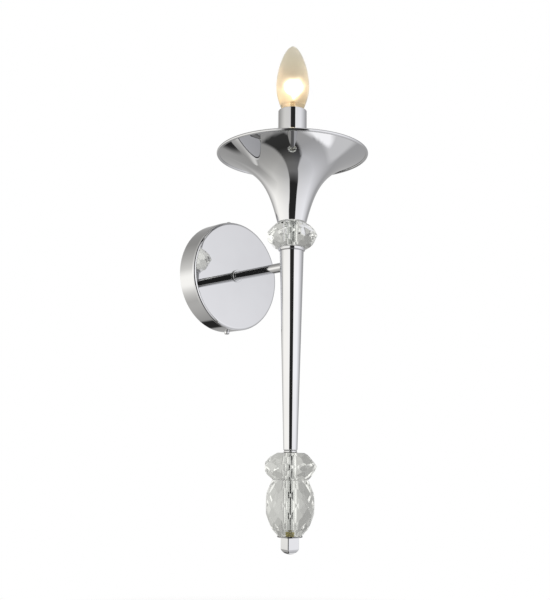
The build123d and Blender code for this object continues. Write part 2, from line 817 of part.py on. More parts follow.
# Lampholder: an insulating body with a tapped base, a terminal chamber, a web and the socket above it
holder_r = holder_d / 2
chamber_r = hypot(shell_inner_r + shell_wall, holder_terminal_w / 2) + slip_gap
leaf_slot_w = leaf_w + 2 * hole_gap
leaf_slot_inner = leaf_x - leaf_t / 2 - leaf_bend
leaf_slot_outer = leaf_x + leaf_t / 2 + hole_gap
tail_slot_inner = shell_inner_r - hole_gap
tail_slot_outer = shell_outer_r + hole_gap
with BuildPart() as lampholder:
    revolve(
        turned_profile(
            (nipple_thread_r, holder_z),
            (holder_r, holder_z),
            (holder_r, holder_top),
            (shell_outer_r + slip_gap, holder_top),
            (shell_outer_r + slip_gap, shell_z),
            (socket_floor_d / 2, shell_z),
            (socket_floor_d / 2, socket_floor),
            (0, socket_floor),
            (0, chamber_top),
            (chamber_r, chamber_top),
            (chamber_r, chamber_z),
            (nipple_thread_r, chamber_z),
        ),
        axis=stem_axis,
    )
    with BuildSketch(stem_level(chamber_top)):
        with Locations(((leaf_slot_inner + leaf_slot_outer) / 2, 0)):
            Rectangle(leaf_slot_outer - leaf_slot_inner, leaf_slot_w)
    extrude(amount=holder_web_t, mode=Mode.SUBTRACT)
    with BuildSketch(stem_level(chamber_top)):
        with Locations((-(tail_slot_inner + tail_slot_outer) / 2, 0)):
            Rectangle(tail_slot_outer - tail_slot_inner, leaf_slot_w)
    extrude(amount=shell_z - chamber_top, mode=Mode.SUBTRACT)
lampholder.part.label = "lampholder"
export_step(lampholder.part, "parts/lampholder.step")

# Screw shell with a flat tail down to the neutral terminal
with BuildPart() as screw_shell:
    extrude(
        ring_profile(stem_level(shell_z), shell_outer_r, shell_inner_r),
        amount=holder_top - shell_recess - shell_z,
    )
    with BuildSketch(stem_level(chamber_z)):
        with Locations((-(shell_inner_r + shell_outer_r) / 2, 0)):
            Rectangle(shell_wall, leaf_w)
    extrude(amount=shell_z - chamber_z)
screw_shell.part.label = "screw_shell"
export_step(screw_shell.part, "parts/screw_shell.step")

# Contact leaf from the live terminal up to the middle of the socket's floor
leaf_bottom = chamber_z + holder_terminal_h
with BuildPart() as contact_leaf:
    with BuildSketch(stem_plane):
        with BuildLine():
            FilletPolyline(
                (leaf_x, leaf_bottom),
                (leaf_x, socket_floor + leaf_t / 2),
                (-leaf_past, socket_floor + leaf_t / 2),
                radius=leaf_bend,
            )
        trace(line_width=leaf_t)
    extrude(amount=leaf_w / 2, both=True)
contact_leaf.part.label = "contact_leaf"
export_step(contact_leaf.part, "parts/contact_leaf.step")

# The two wire terminals in the lampholder
holder_terminal_inner = wire_x - wire_hole_r - holder_terminal_wall
holder_terminal_mid = (holder_terminal_inner + shell_inner_r) / 2
with BuildPart() as holder_terminals:
    with BuildSketch(stem_level(chamber_z)):
        with Locations((holder_terminal_mid, 0), (-holder_terminal_mid, 0)):
            Rectangle(shell_inner_r - holder_terminal_inner, holder_terminal_w)
    extrude(amount=holder_terminal_h)
    with BuildSketch(stem_level(chamber_z)):
        with Locations((wire_x, 0), (-wire_x, 0)):
            Circle(wire_hole_r)
    extrude(amount=holder_terminal_h / 2, mode=Mode.SUBTRACT)
holder_terminals.part.label = "holder_terminals"
export_step(holder_terminals.part, "parts/holder_terminals.step")

# Live and neutral wires: terminal block, through the arm, up the nipple, into the lampholder
wire_start = block_top - wire_lead
wire_end = chamber_z + holder_terminal_h / 2 - slip_gap
lead_bend = arm_mouth - block_mid
for wire_name, way in (("live_wire", 1), ("neutral_wire", -1)):
    pole_x = way * (pole_count - 1) / 2 * pole_pitch
    wire = wire_tube(
        [
            (pole_x, -block_mid, wire_start),
            (pole_x, -block_mid, block_top + wire_rise),
            (way * wire_x, -block_mid, 0),
            (way * wire_x, -reach, 0),
            (way * wire_x, -reach, wire_end),
        ],
        [wire_spread_bend, lead_bend, hub_wire_bend],
    )
    wire.label = wire_name
    export_step(wire, f"parts/{wire_name}.step")

# Earth wire: from the middle pole to the tag on the bracket
earth_wire = wire_tube(
    [
        (0, -block_mid, wire_start),
        (0, -block_mid, block_top + earth_wire_low),
        (0, earth_wire_y, block_top + earth_wire_high),
        (0, earth_wire_y, earth_barrel_top - slip_gap),
    ],
    [earth_wire_bend, earth_wire_bend],
)
earth_wire.label = "earth_wire"
export_step(earth_wire, "parts/earth_wire.step")

# Lamp glass: a thin candle-shaped envelope, open at the neck
with BuildPart() as bulb_glass:
    revolve(lamp_profile(0), axis=stem_axis)
    revolve(lamp_profile(lamp_wall), axis=stem_axis, mode=Mode.SUBTRACT)
bulb_glass.part.label = "bulb_glass"
export_step(bulb_glass.part, "parts/bulb_glass.step")

# Lamp cap: a thin screw shell with a wider skirt under the glass
cap_r = cap_thread_d / 2
cap_z = lamp_tip_z + tip_dome + insulator_h
with BuildPart() as bulb_cap:
    revolve(
        turned_profile(
            (cap_r - cap_wall, cap_z),
            (cap_r, cap_z),
            (cap_r, skirt_z),
            (cap_skirt_d / 2, glass_z),
            (lamp_neck_d / 2 - lamp_wall, glass_z),
            (cap_r - cap_wall, skirt_z),
        ),
        axis=stem_axis,
    )
bulb_cap.part.label = "bulb_cap"
export_step(bulb_cap.part, "parts/bulb_cap.step")

# Insulating ring between the cap and the tip contact
insulator_spigot_r = cap_r - cap_wall - slip_gap
with BuildPart() as bulb_insulator:
    revolve(
        turned_profile(
            (tip_d / 2 + thread_gap, cap_z - insulator_h),
            (insulator_bottom_d / 2, cap_z - insulator_h),
            (cap_r, cap_z),
            (insulator_spigot_r, cap_z),
            (insulator_spigot_r, cap_z + insulator_spigot_h),
            (tip_d / 2 + thread_gap, cap_z + insulator_spigot_h),
        ),
        axis=stem_axis,
    )
bulb_insulator.part.label = "bulb_insulator"
export_step(bulb_insulator.part, "parts/bulb_insulator.step")

# Tip contact
with BuildPart() as bulb_tip:
    with BuildSketch(stem_level(lamp_tip_z)):
        Circle(tip_d / 2)
    extrude(amount=tip_h)
    fillet(bulb_tip.edges().filter_by(GeomType.CIRCLE).sort_by(Axis.Z)[0], radius=tip_dome)
bulb_tip.part.label = "bulb_tip"
export_step(bulb_tip.part, "parts/bulb_tip.step")

# Glass mount inside the lamp, flared to meet the neck
mount_r = lamp_neck_d / 2 - lamp_wall - slip_gap
mount_top = glass_z + mount_h
with BuildPart() as bulb_mount:
    revolve(
        turned_profile(
            (0, glass_z),
            (mount_r, glass_z),
            (mount_top_d / 2, glass_z + mount_h / 2),
            (mount_top_d / 2, mount_top),
            (0, mount_top),
        ),
        axis=stem_axis,
    )
bulb_mount.part.label = "bulb_mount"
export_step(bulb_mount.part, "parts/bulb_mount.step")

# Filament on its two leads
lead_x = mount_top_d / 2 - filament_d
with BuildPart() as filament:
    with BuildLine() as filament_route:
        FilletPolyline(
            (lead_x, -reach, mount_top),
            (lead_x, -reach, mount_top + lead_h),
            (filament_w / 2, -reach, mount_top + filament_rise),
            (-filament_w / 2, -reach, mount_top + filament_rise),
            (-lead_x, -reach, mount_top + lead_h),
            (-lead_x, -reach, mount_top),
            radius=filament_bend,
        )
    with BuildSketch(Plane(origin=filament_route.line @ 0, z_dir=filament_route.line % 0)):
        Circle(filament_d / 2)
    sweep()
filament.part.label = "filament"
export_step(filament.part, "parts/filament.step")
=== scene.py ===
"""Dressed wall sconce: chromed canopy, arm, stem and horn, cut crystals and a candle lamp."""

import logging
import math
from collections.abc import Iterable, Sequence
from dataclasses import dataclass
from enum import Enum

import bmesh
import bpy
from mathutils import Matrix, Vector


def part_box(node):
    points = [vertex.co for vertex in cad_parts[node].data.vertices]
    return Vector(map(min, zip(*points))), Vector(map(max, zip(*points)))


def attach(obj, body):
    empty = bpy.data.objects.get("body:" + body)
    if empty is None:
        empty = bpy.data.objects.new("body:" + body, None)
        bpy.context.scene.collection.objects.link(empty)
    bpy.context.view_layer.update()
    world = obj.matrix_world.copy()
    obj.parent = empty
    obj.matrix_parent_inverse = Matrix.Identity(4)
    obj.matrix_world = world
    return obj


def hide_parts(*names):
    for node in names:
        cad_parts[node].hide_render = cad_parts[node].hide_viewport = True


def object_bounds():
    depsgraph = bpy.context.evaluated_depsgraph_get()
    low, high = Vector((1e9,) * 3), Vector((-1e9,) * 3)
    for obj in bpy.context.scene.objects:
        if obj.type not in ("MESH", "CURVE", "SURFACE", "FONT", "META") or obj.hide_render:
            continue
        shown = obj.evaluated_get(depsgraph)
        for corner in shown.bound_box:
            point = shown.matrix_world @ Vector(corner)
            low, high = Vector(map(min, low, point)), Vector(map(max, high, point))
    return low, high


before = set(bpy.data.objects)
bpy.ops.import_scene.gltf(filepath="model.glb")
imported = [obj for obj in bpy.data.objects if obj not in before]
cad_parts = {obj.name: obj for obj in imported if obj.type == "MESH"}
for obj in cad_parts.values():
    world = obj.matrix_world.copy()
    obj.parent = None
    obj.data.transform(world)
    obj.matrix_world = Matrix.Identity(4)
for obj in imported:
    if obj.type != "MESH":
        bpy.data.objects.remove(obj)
CAD_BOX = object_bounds()

LOG = logging.getLogger("sconce")
UP = Vector((0.0, 0.0, 1.0))

# Lengths are in metres, as in the frame.
MM = 0.001
# Radius below which a point of an outline lies on its axis.
ON_AXIS = 1e-7
# Distance within which two points of a copied node become one.
WELD = 2e-6
# Angle in degrees up to which two faces of a copied node lie in one flat.
FLAT = 0.3
# Angles in degrees above which an edge of a copied node is broken, and above which one stays sharp then.
BROKEN_FROM = 25.0
BROKEN_CREASE = 40.0
# Steps and fullness of a broken edge's section, and the weight of large faces in its shading.
BROKEN_STEPS = 2
BROKEN_PROFILE = 0.6
BROKEN_WEIGHT = 100
# Distance of a holding point from the end of its arc, as a share of the rounding.
HOLD = 0.15

Colour = tuple[float, float, float]
Point = tuple[float, float]
Corner = tuple[float, float, float]
Stops = tuple[Point, ...]
Socket = bpy.types.NodeSocket
Shape = bmesh.types.BMesh
Piece = bpy.types.Object


class Body(Enum):
    """Bodies of the frame that pieces ride on."""

    FIXTURE = "fixture"
    LAMP = "lamp"
    TOP_SCREW = "top_screw"
    TOP_WASHER = "top_washer"
    BOTTOM_SCREW = "bottom_screw"
    BOTTOM_WASHER = "bottom_washer"


class Slot(Enum):
    """Material slots of the record."""

    CHROME = "chrome"
    ZINC = "zinc_steel"
    BRASS = "brass"
    NICKEL = "nickel"
    CRYSTAL = "crystal"
    LAMP_GLASS = "lamp_glass"
    FILAMENT = "filament"
    HOLDER = "holder_plastic"
    BLOCK = "block_plastic"


class ThreadForm(Enum):
    """Cross sections of a screw thread."""

    VEE = "vee"
    ROLLED = "rolled"


class Nodes:
    """Node tree with one short way to add a node."""

    def __init__(self, tree: bpy.types.NodeTree) -> None:
        """Keep the tree that nodes are added to."""
        self.tree = tree

    def add(self, kind: str, inputs: dict[str | int, object], **settings: str) -> bpy.types.Node:
        """Add a node.

        Args:
            kind: Type of the node, without its prefix.
            inputs: Socket to link or value to set, for each input by its name or place.
            **settings: Options of the node, set before its inputs.

        Returns:
            The node.
        """
        node = self.tree.nodes.new(f"ShaderNode{kind}")
        for option, choice in settings.items():
            setattr(node, option, choice)
        for place, value in inputs.items():
            if isinstance(value, Socket):
                self.tree.links.new(value, node.inputs[place])
            else:
                node.inputs[place].default_value = value
        return node


class FinishNodes(Nodes):
    """Nodes of one finish, with short methods for the patterns that finishes share."""

    def __init__(self, name: str) -> None:
        """Make the material and find its surface shader.

        Args:
            name: Name of the material.
        """
        self.material = bpy.data.materials.new(name)
        self.material.use_nodes = True
        super().__init__(self.material.node_tree)
        self.surface = self.tree.nodes["Principled BSDF"]
        self.place = self.add("TexCoord", {}).outputs["Object"]

    def put(self, settings: dict[str, float | Colour]) -> None:
        """Set plain numbers and colours on the surface shader's sockets."""
        for socket, value in settings.items():
            self.surface.inputs[socket].default_value = (*value, 1.0) if isinstance(value, tuple) else value

    def link(self, source: Socket, socket: str) -> None:
        """Lead a value into one of the surface shader's sockets."""
        self.tree.links.new(source, self.surface.inputs[socket])

    def noise(self, scale: float, detail: float = 3.0, stretch: Colour = (1.0, 1.0, 1.0)) -> Socket:
        """Add a noise pattern in the piece's own coordinates.

        Args:
            scale: Patches in a metre.
            detail: Octaves of finer noise.
            stretch: Factor on the scale along X, Y and Z.

        Returns:
            The noise value, around 0.5.
        """
        mapping = self.add("Mapping", {"Vector": self.place, "Scale": stretch})
        settings = {"Vector": mapping.outputs["Vector"], "Scale": scale, "Detail": detail}
        return self.add("TexNoise", settings).outputs["Fac"]

    def spread(self, value: Socket, source: Point, target: Point) -> Socket:
        """Stretch a value from one range to another, held at the ends.

        Args:
            value: Value to stretch.
            source: Range that it comes from.
            target: Range that it goes to.

        Returns:
            The stretched value.
        """
        settings = {"Value": value, "From Min": source[0], "From Max": source[1]}
        settings |= {"To Min": target[0], "To Max": target[1]}
        return self.add("MapRange", settings).outputs["Result"]

    def blend(self, share: Socket, first: Colour, second: Colour) -> Socket:
        """Mix two colours by a share.

        Args:
            share: 0 for the first colour, 1 for the second.
            first: First colour.
            second: Second colour.

        Returns:
            The mixed colour.
        """
        settings = {"Factor": share, "A": (*first, 1.0), "B": (*second, 1.0)}
        return self.add("Mix", settings, data_type="RGBA").outputs["Result"]

    def relief(self, height: Socket, depth: float) -> None:
        """Raise the surface by a height pattern.

        Args:
            height: Pattern from 0 to 1.
            depth: Depth of the pattern in metres.
        """
        self.link(self.add("Bump", {"Height": height, "Distance": depth}).outputs["Normal"], "Normal")

    def part(self, vector: Socket, axis: str) -> Socket:
        """Return one part of a vector, X, Y or Z."""
        return self.add("SeparateXYZ", {"Vector": vector}).outputs[axis]

    def reach(self, centre: Vector) -> Socket:
        """Distance from an upright axis.

        Args:
            centre: Point on the axis.

        Returns:
            The distance in metres.
        """
        off = self.add("VectorMath", {0: self.place, 1: centre}, operation="SUBTRACT").outputs["Vector"]
        level = self.add("VectorMath", {0: off, 1: (1.0, 1.0, 0.0)}, operation="MULTIPLY").outputs["Vector"]
        return self.add("VectorMath", {0: level}, operation="LENGTH").outputs["Value"]


@dataclass(frozen=True)
class Finish:
    """Named look of a surface. The material is made on first use."""

    name: str

    def material(self) -> bpy.types.Material:
        """Return the finish's material."""
        found = bpy.data.materials.get(self.name)
        return found if found else self.make()

    def make(self) -> bpy.types.Material:
        """Build the material's nodes."""
        raise NotImplementedError


@dataclass(frozen=True)
class Metal(Finish):
    """Bare or plated metal with cloudy polish and fine marks.

    Attributes:
        light: Colour of the clean metal.
        dull: Colour of the clouded patches.
        polish: Lowest and highest roughness.
        cloud: Clouded patches in a metre.
        cloud_range: Noise values where clouding begins and is full.
        mark: Fine marks in a metre.
        mark_range: Noise values of the lowest and the highest roughness.
        mark_run: Factor on the marks along X, Y and Z.
        depth: Depth of the marks in metres.
    """

    light: Colour
    dull: Colour
    polish: Point
    cloud: float = 60.0
    cloud_range: Point = (0.4, 0.7)
    mark: float = 900.0
    mark_range: Point = (0.35, 0.75)
    mark_run: Colour = (1.0, 1.0, 0.15)
    depth: float = 0.0

    def make(self) -> bpy.types.Material:
        """Build the metal's nodes."""
        nodes = FinishNodes(self.name)
        nodes.put({"Metallic": 1.0})
        cloud = nodes.spread(nodes.noise(self.cloud, detail=4.0), self.cloud_range, (0.0, 1.0))
        marks = nodes.noise(self.mark, detail=2.0, stretch=self.mark_run)
        nodes.link(nodes.blend(cloud, self.light, self.dull), "Base Color")
        nodes.link(nodes.spread(marks, self.mark_range, self.polish), "Roughness")
        if self.depth > 0.0:
            nodes.relief(marks, self.depth)
        return nodes.material


@dataclass(frozen=True)
class ClearGlass(Finish):
    """Clear glass, crystal or film with the faint marks of its making.

    Attributes:
        tint: Colour of the glass.
        ior: Refractive index.
        polish: Lowest and highest roughness.
        mark: Marks in a metre.
        mark_range: Noise values of the lowest and the highest roughness.
        mark_run: Factor on the marks along X, Y and Z.
    """

    tint: Colour
    ior: float
    polish: Point
    mark: float = 500.0
    mark_range: Point = (0.3, 0.7)
    mark_run: Colour = (1.0, 1.0, 0.2)

    def make(self) -> bpy.types.Material:
        """Build the clear glass's nodes."""
        nodes = FinishNodes(self.name)
        nodes.put({"Base Color": self.tint, "Transmission Weight": 1.0, "IOR": self.ior})
        marks = nodes.noise(self.mark, detail=2.0, stretch=self.mark_run)
        nodes.link(nodes.spread(marks, self.mark_range, self.polish), "Roughness")
        return nodes.material


@dataclass(frozen=True)
class LampGlass(Finish):
    """Etched lamp glass that scatters the light of the filament.

    Attributes:
        crown: Colour at the tip.
        neck: Colour at the neck.
        span: Heights of the neck and the tip in metres.
        etch: Roughness at the neck and above it.
        etch_range: Shares of the height between which the etching sets in.
        glow: Colour of the light that the etched wall holds.
        glow_strength: Strength of that light.
        grain: Etched grains in a metre.
        grain_depth: Depth of the etched grain in metres.
        ior: Refractive index.
    """

    crown: Colour
    neck: Colour
    span: Point
    etch: Point
    glow: Colour
    glow_strength: float
    etch_range: Point = (0.1, 0.35)
    grain: float = 1500.0
    grain_depth: float = 0.01 * MM
    ior: float = 1.45

    def make(self) -> bpy.types.Material:
        """Build the lamp glass's nodes."""
        nodes = FinishNodes(self.name)
        nodes.put({"Transmission Weight": 1.0, "IOR": self.ior})
        nodes.put({"Emission Color": self.glow, "Emission Strength": self.glow_strength})
        height = nodes.spread(nodes.part(nodes.place, "Z"), self.span, (0.0, 1.0))
        nodes.link(nodes.blend(height, self.neck, self.crown), "Base Color")
        nodes.link(nodes.spread(height, self.etch_range, self.etch), "Roughness")
        nodes.relief(nodes.noise(self.grain), self.grain_depth)
        return nodes.material


@dataclass(frozen=True)
class Moulding(Finish):
    """Moulded plastic with a fine spark-eroded texture.

    Attributes:
        light: Colour of the plastic.
        dull: Colour of its darker flow.
        polish: Lowest and highest roughness.
        depth: Depth of the texture in metres.
        flow: Patches of flow in a metre.
        grain: Grains of the texture in a metre.
        grain_range: Noise values of the lowest and the highest roughness.
        ior: Refractive index.
    """

    light: Colour
    dull: Colour
    polish: Point
    depth: float
    flow: float = 180.0
    grain: float = 5200.0
    grain_range: Point = (0.3, 0.7)
    ior: float = 1.5

    def make(self) -> bpy.types.Material:
        """Build the plastic's nodes."""
        nodes = FinishNodes(self.name)
        nodes.put({"IOR": self.ior})
        nodes.link(nodes.blend(nodes.noise(self.flow, detail=4.0), self.light, self.dull), "Base Color")
        grain = nodes.noise(self.grain, detail=2.0)
        nodes.link(nodes.spread(grain, self.grain_range, self.polish), "Roughness")
        nodes.relief(grain, self.depth)
        return nodes.material


@dataclass(frozen=True)
class WireSleeving(Finish):
    """Extruded wire insulation, plain or with a stripe along one side.

    Attributes:
        colour: Main colour.
        stripe: Colour of the stripe, close to the main colour on a plain wire.
        width: Sideways part of the surface's direction where the stripe begins, from -1 to 1.
        soft: Half width of the stripe's soft edge, in the same measure.
        polish: Lowest and highest roughness.
        grain: Grains of the surface in a metre.
        grain_range: Noise values of the lowest and the highest roughness.
        ior: Refractive index.
    """

    colour: Colour
    stripe: Colour
    width: float = 0.0
    soft: float = 0.05
    polish: Point = (0.32, 0.48)
    grain: float = 1500.0
    grain_range: Point = (0.3, 0.7)
    ior: float = 1.48

    def make(self) -> bpy.types.Material:
        """Build the insulation's nodes."""
        nodes = FinishNodes(self.name)
        nodes.put({"IOR": self.ior})
        sideways = nodes.part(nodes.add("NewGeometry", {}).outputs["Normal"], "X")
        edge = nodes.spread(sideways, (self.width - self.soft, self.width + self.soft), (0.0, 1.0))
        nodes.link(nodes.blend(edge, self.colour, self.stripe), "Base Color")
        nodes.link(nodes.spread(nodes.noise(self.grain), self.grain_range, self.polish), "Roughness")
        return nodes.material


@dataclass(frozen=True)
class HotWire(Finish):
    """Glowing filament wire.

    Attributes:
        metal: Colour of the cold metal.
        light: Colour of the light.
        strength: Strength of the light where the wire is hot.
        hot_from: Height in metres above which the wire glows.
        warm_up: Height over which it gets hot.
        roughness: Roughness of the metal.
    """

    metal: Colour
    light: Colour
    strength: float
    hot_from: float
    warm_up: float = 1.0 * MM
    roughness: float = 0.4

    def make(self) -> bpy.types.Material:
        """Build the hot wire's nodes."""
        nodes = FinishNodes(self.name)
        nodes.put({"Base Color": self.metal, "Metallic": 1.0, "Roughness": self.roughness})
        nodes.put({"Emission Color": self.light})
        rise = (self.hot_from, self.hot_from + self.warm_up)
        hot = nodes.spread(nodes.part(nodes.place, "Z"), rise, (0.0, self.strength))
        nodes.link(hot, "Emission Strength")
        return nodes.material


@dataclass(frozen=True)
class NodeBox:
    """Box of one node of the frame at rest.

    Attributes:
        low: Lowest corner.
        high: Highest corner.
    """

    low: Vector
    high: Vector

    @classmethod
    def of(cls, node: str) -> "NodeBox":
        """Return a node's box."""
        return cls(*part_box(node))

    @property
    def centre(self) -> Vector:
        """Middle of the box."""
        return (self.low + self.high) / 2.0

    @property
    def radius(self) -> float:
        """Half the box's width along X."""
        return (self.high.x - self.low.x) / 2.0

    @property
    def height(self) -> float:
        """Height of the box along Z."""
        return self.high.z - self.low.z


@dataclass(frozen=True)
class Spindle:
    """Axis that turned pieces spin about.

    Attributes:
        origin: Point that heights are counted from.
        direction: Way in which heights grow.
    """

    origin: Vector
    direction: Vector

    def placed(self) -> Matrix:
        """Return the matrix that takes an upright turned piece onto the axis."""
        turn = UP.rotation_difference(self.direction).to_matrix().to_4x4()
        return Matrix.Translation(self.origin) @ turn


@dataclass(frozen=True)
class Thread:
    """Screw thread cut or rolled into a turned piece.

    Attributes:
        pitch: Rise in one turn.
        depth: Depth below the crest.
        start: Height where it begins.
        end: Height where it runs out.
        form: Cross section.
    """

    pitch: float
    depth: float
    start: float
    end: float
    form: ThreadForm = ThreadForm.VEE

    def groove(self, height: float, angle: float) -> float:
        """Tell how far the thread cuts in at a place.

        Args:
            height: Height along the axis.
            angle: Angle round the axis, in radians.

        Returns:
            The cut in metres, 0 outside the thread.
        """
        if not self.start <= height <= self.end:
            return 0.0
        share = (height / self.pitch - angle / math.tau) % 1.0
        wave = 1.0 - abs(2.0 * share - 1.0)
        if self.form is ThreadForm.ROLLED:
            wave = 0.5 - 0.5 * math.cos(math.tau * share)
        run_out = min(1.0, (height - self.start) / self.pitch, (self.end - height) / self.pitch)
        return self.depth * wave * run_out

    def stations(self, radius: float, steps: int = 10) -> list[Point]:
        """Give the outline points that the thread needs.

        Args:
            radius: Crest radius.
            steps: Points in one pitch.

        Returns:
            Points from the thread's start to its end.
        """
        count = math.ceil((self.end - self.start) / self.pitch * steps)
        run = self.end - self.start
        return [(radius, self.start + run * step / count) for step in range(count + 1)]


def rounded(corners: Sequence[Corner], steps: int = 4) -> list[Point]:
    """Round the corners of a closed half section, with a holding point before and after each arc.

    Args:
        corners: (radius, height, rounding) of each corner, in order.
        steps: Straight steps in each rounded corner.

    Returns:
        Points of the rounded section.
    """
    points: list[Point] = []
    for index, (radius, height, rounding) in enumerate(corners):
        here = Vector((radius, height))
        if rounding <= 0.0:
            points.append((radius, height))
            continue
        before = Vector(corners[index - 1][:2]) - here
        after = Vector(corners[(index + 1) % len(corners)][:2]) - here
        before.normalize()
        after.normalize()
        half = before.angle(after) / 2.0
        run = rounding / math.tan(half)
        hub = here + (before + after).normalized() * (rounding / math.sin(half))
        start = here + before * run - hub
        end = here + after * run - hub
        first = math.atan2(start.y, start.x)
        sweep = (math.atan2(end.y, end.x) - first + math.pi) % math.tau - math.pi
        points.append(tuple(here + before * (run + HOLD * rounding)))
        for step in range(steps + 1):
            angle = first + sweep * step / steps
            points.append((hub.x + rounding * math.cos(angle), hub.y + rounding * math.sin(angle)))
        points.append(tuple(here + after * (run + HOLD * rounding)))
    return points


def ring(bore: float, outer: float, low: float, high: float, edges: Point) -> list[Point]:
    """Give the half section of a ring or tube with rounded outer edges.

    Args:
        bore: Radius of its hole.
        outer: Outer radius.
        low: Height of its lower face.
        high: Height of its upper face.
        edges: Rounding of the lower and the upper outer edge.

    Returns:
        Points of the section.
    """
    return rounded([(bore, low, 0.0), (outer, low, edges[0]), (outer, high, edges[1]), (bore, high, 0.0)])


def rod(radius: float, low: float, high: float) -> list[Point]:
    """Give the half section of a plain rod for drilling.

    Args:
        radius: Radius of the rod.
        low: Height of its lower end.
        high: Height of its upper end.

    Returns:
        Points of the section.
    """
    return [(0.0, low), (radius, low), (radius, high), (0.0, high)]


def bezier(handles: Sequence[Point], steps: int) -> list[Point]:
    """Walk a cubic curve.

    Args:
        handles: Four control points.
        steps: Straight steps along the curve.

    Returns:
        Points from the curve's start to its end.
    """
    first, second, third, fourth = (Vector(handle) for handle in handles)
    points = []
    for step in range(steps + 1):
        share = step / steps
        rest = 1.0 - share
        place = first * rest**3 + second * 3.0 * rest**2 * share
        place = place + third * 3.0 * rest * share**2 + fourth * share**3
        points.append(tuple(place))
    return points


def inset(line: Sequence[Point], depth: float) -> list[Point]:
    """Move a half section's line to its left by a depth.

    Args:
        line: Points of the line.
        depth: How far to move it.

    Returns:
        Points of the moved line.
    """
    moved = []
    for index, place in enumerate(line):
        before = Vector(line[max(index - 1, 0)])
        after = Vector(line[min(index + 1, len(line) - 1)])
        ahead = (after - before).normalized()
        moved.append(tuple(Vector(place) + Vector((-ahead.y, ahead.x)) * depth))
    return moved


def finished(shape: Shape, name: str, crease: float = 35.0) -> Piece:
    """Turn a shape into a linked object with smooth faces and sharp creases.

    Args:
        shape: Shape to take, which is freed.
        name: Name of the object.
        crease: Angle in degrees above which an edge stays sharp.

    Returns:
        The new object.
    """
    bmesh.ops.recalc_face_normals(shape, faces=shape.faces[:])
    mesh = bpy.data.meshes.new(name)
    shape.to_mesh(mesh)
    shape.free()
    # A copied node brings its own normals, which no longer fit the new shape.
    if "custom_normal" in mesh.attributes:
        mesh.attributes.remove(mesh.attributes["custom_normal"])
    shade(mesh, crease)
    piece = bpy.data.objects.new(name, mesh)
    bpy.context.scene.collection.objects.link(piece)
    return piece


def shade(mesh: bpy.types.Mesh, crease: float) -> None:
    """Shade a mesh smooth, with edges above an angle in degrees kept sharp."""
    mesh.shade_smooth()
    mesh.set_sharp_from_angle(angle=math.radians(crease))


def bridge(shape: Shape, first: Sequence, second: Sequence) -> None:
    """Join two rings of points with faces. A ring of one point is a pole.

    Args:
        shape: Shape that holds the rings.
        first: First ring.
        second: Second ring.
    """
    count = max(len(first), len(second))
    for index in range(count):
        following = (index + 1) % count
        if len(first) == 1:
            shape.faces.new((first[0], second[index], second[following]))
        elif len(second) == 1:
            shape.faces.new((first[index], second[0], first[following]))
        else:
            shape.faces.new((first[index], second[index], second[following], first[following]))


def spin(
    name: str,
    outline: Sequence[Point],
    spindle: Spindle,
    segments: int = 128,
    thread: Thread | None = None,
) -> Piece:
    """Turn a half section about an axis.

    Args:
        name: Name of the object.
        outline: (radius, height) points. An outline that begins on the axis ends on it, and any other
            closes on itself.
        spindle: Axis of the turned piece.
        segments: Steps round the axis.
        thread: Thread cut into the piece, if it has one.

    Returns:
        The turned object.
    """
    shape = bmesh.new()
    placed = spindle.placed()
    loops = []
    for radius, height in outline:
        if radius < ON_AXIS:
            loops.append([shape.verts.new(placed @ Vector((0.0, 0.0, height)))])
            continue
        loop = []
        for step in range(segments):
            angle = math.tau * step / segments
            reach = radius - (thread.groove(height, angle) if thread else 0.0)
            spot = Vector((reach * math.cos(angle), reach * math.sin(angle), height))
            loop.append(shape.verts.new(placed @ spot))
        loops.append(loop)
    for first, second in zip(loops, loops[1:]):
        bridge(shape, first, second)
    if len(loops[0]) > 1:
        bridge(shape, loops[-1], loops[0])
    return finished(shape, name)


def copied(node: str) -> Shape:
    """Return a welded copy of a node's mesh."""
    shape = bmesh.new()
    shape.from_mesh(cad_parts[node].data)
    bmesh.ops.remove_doubles(shape, verts=shape.verts[:], dist=WELD)
    return shape


def merge_flats(shape: Shape) -> None:
    """Merge the faces of a shape that lie in one flat."""
    flat = math.radians(FLAT)
    bmesh.ops.dissolve_limit(shape, angle_limit=flat, verts=shape.verts[:], edges=shape.edges[:])


def softened(node: str, name: str, edge: float) -> Piece:
    """Copy a node of the frame and break its sharp edges.

    Args:
        node: Node to copy.
        name: Name of the new object.
        edge: Width of the broken edge in metres.

    Returns:
        The new object.
    """
    shape = copied(node)
    merge_flats(shape)
    sharp = []
    for line in shape.edges:
        if len(line.link_faces) == 2 and line.calc_face_angle() > math.radians(BROKEN_FROM):
            sharp.append(line)
    bmesh.ops.bevel(
        shape,
        geom=sharp,
        offset=edge,
        segments=BROKEN_STEPS,
        profile=BROKEN_PROFILE,
        affect="EDGES",
        clamp_overlap=True,
    )
    piece = finished(shape, name, BROKEN_CREASE)
    weights = piece.modifiers.new("edge_light", "WEIGHTED_NORMAL")
    weights.keep_sharp = True
    weights.weight = BROKEN_WEIGHT
    return piece


def carve(piece: Piece, cutter: Piece, crease: float = 30.0) -> Piece:
    """Cut one object out of another and drop the cutter.

    Args:
        piece: Object to cut.
        cutter: Object to take away.
        crease: Angle in degrees above which an edge stays sharp.

    Returns:
        The cut object.
    """
    cut = piece.modifiers.new("cut", "BOOLEAN")
    cut.operation = "DIFFERENCE"
    cut.solver = "EXACT"
    cut.object = cutter
    bpy.context.view_layer.update()
    ready = piece.evaluated_get(bpy.context.evaluated_depsgraph_get())
    mesh = bpy.data.meshes.new_from_object(ready)
    piece.modifiers.clear()
    piece.data = mesh
    shade(mesh, crease)
    bpy.data.objects.remove(cutter)
    return piece


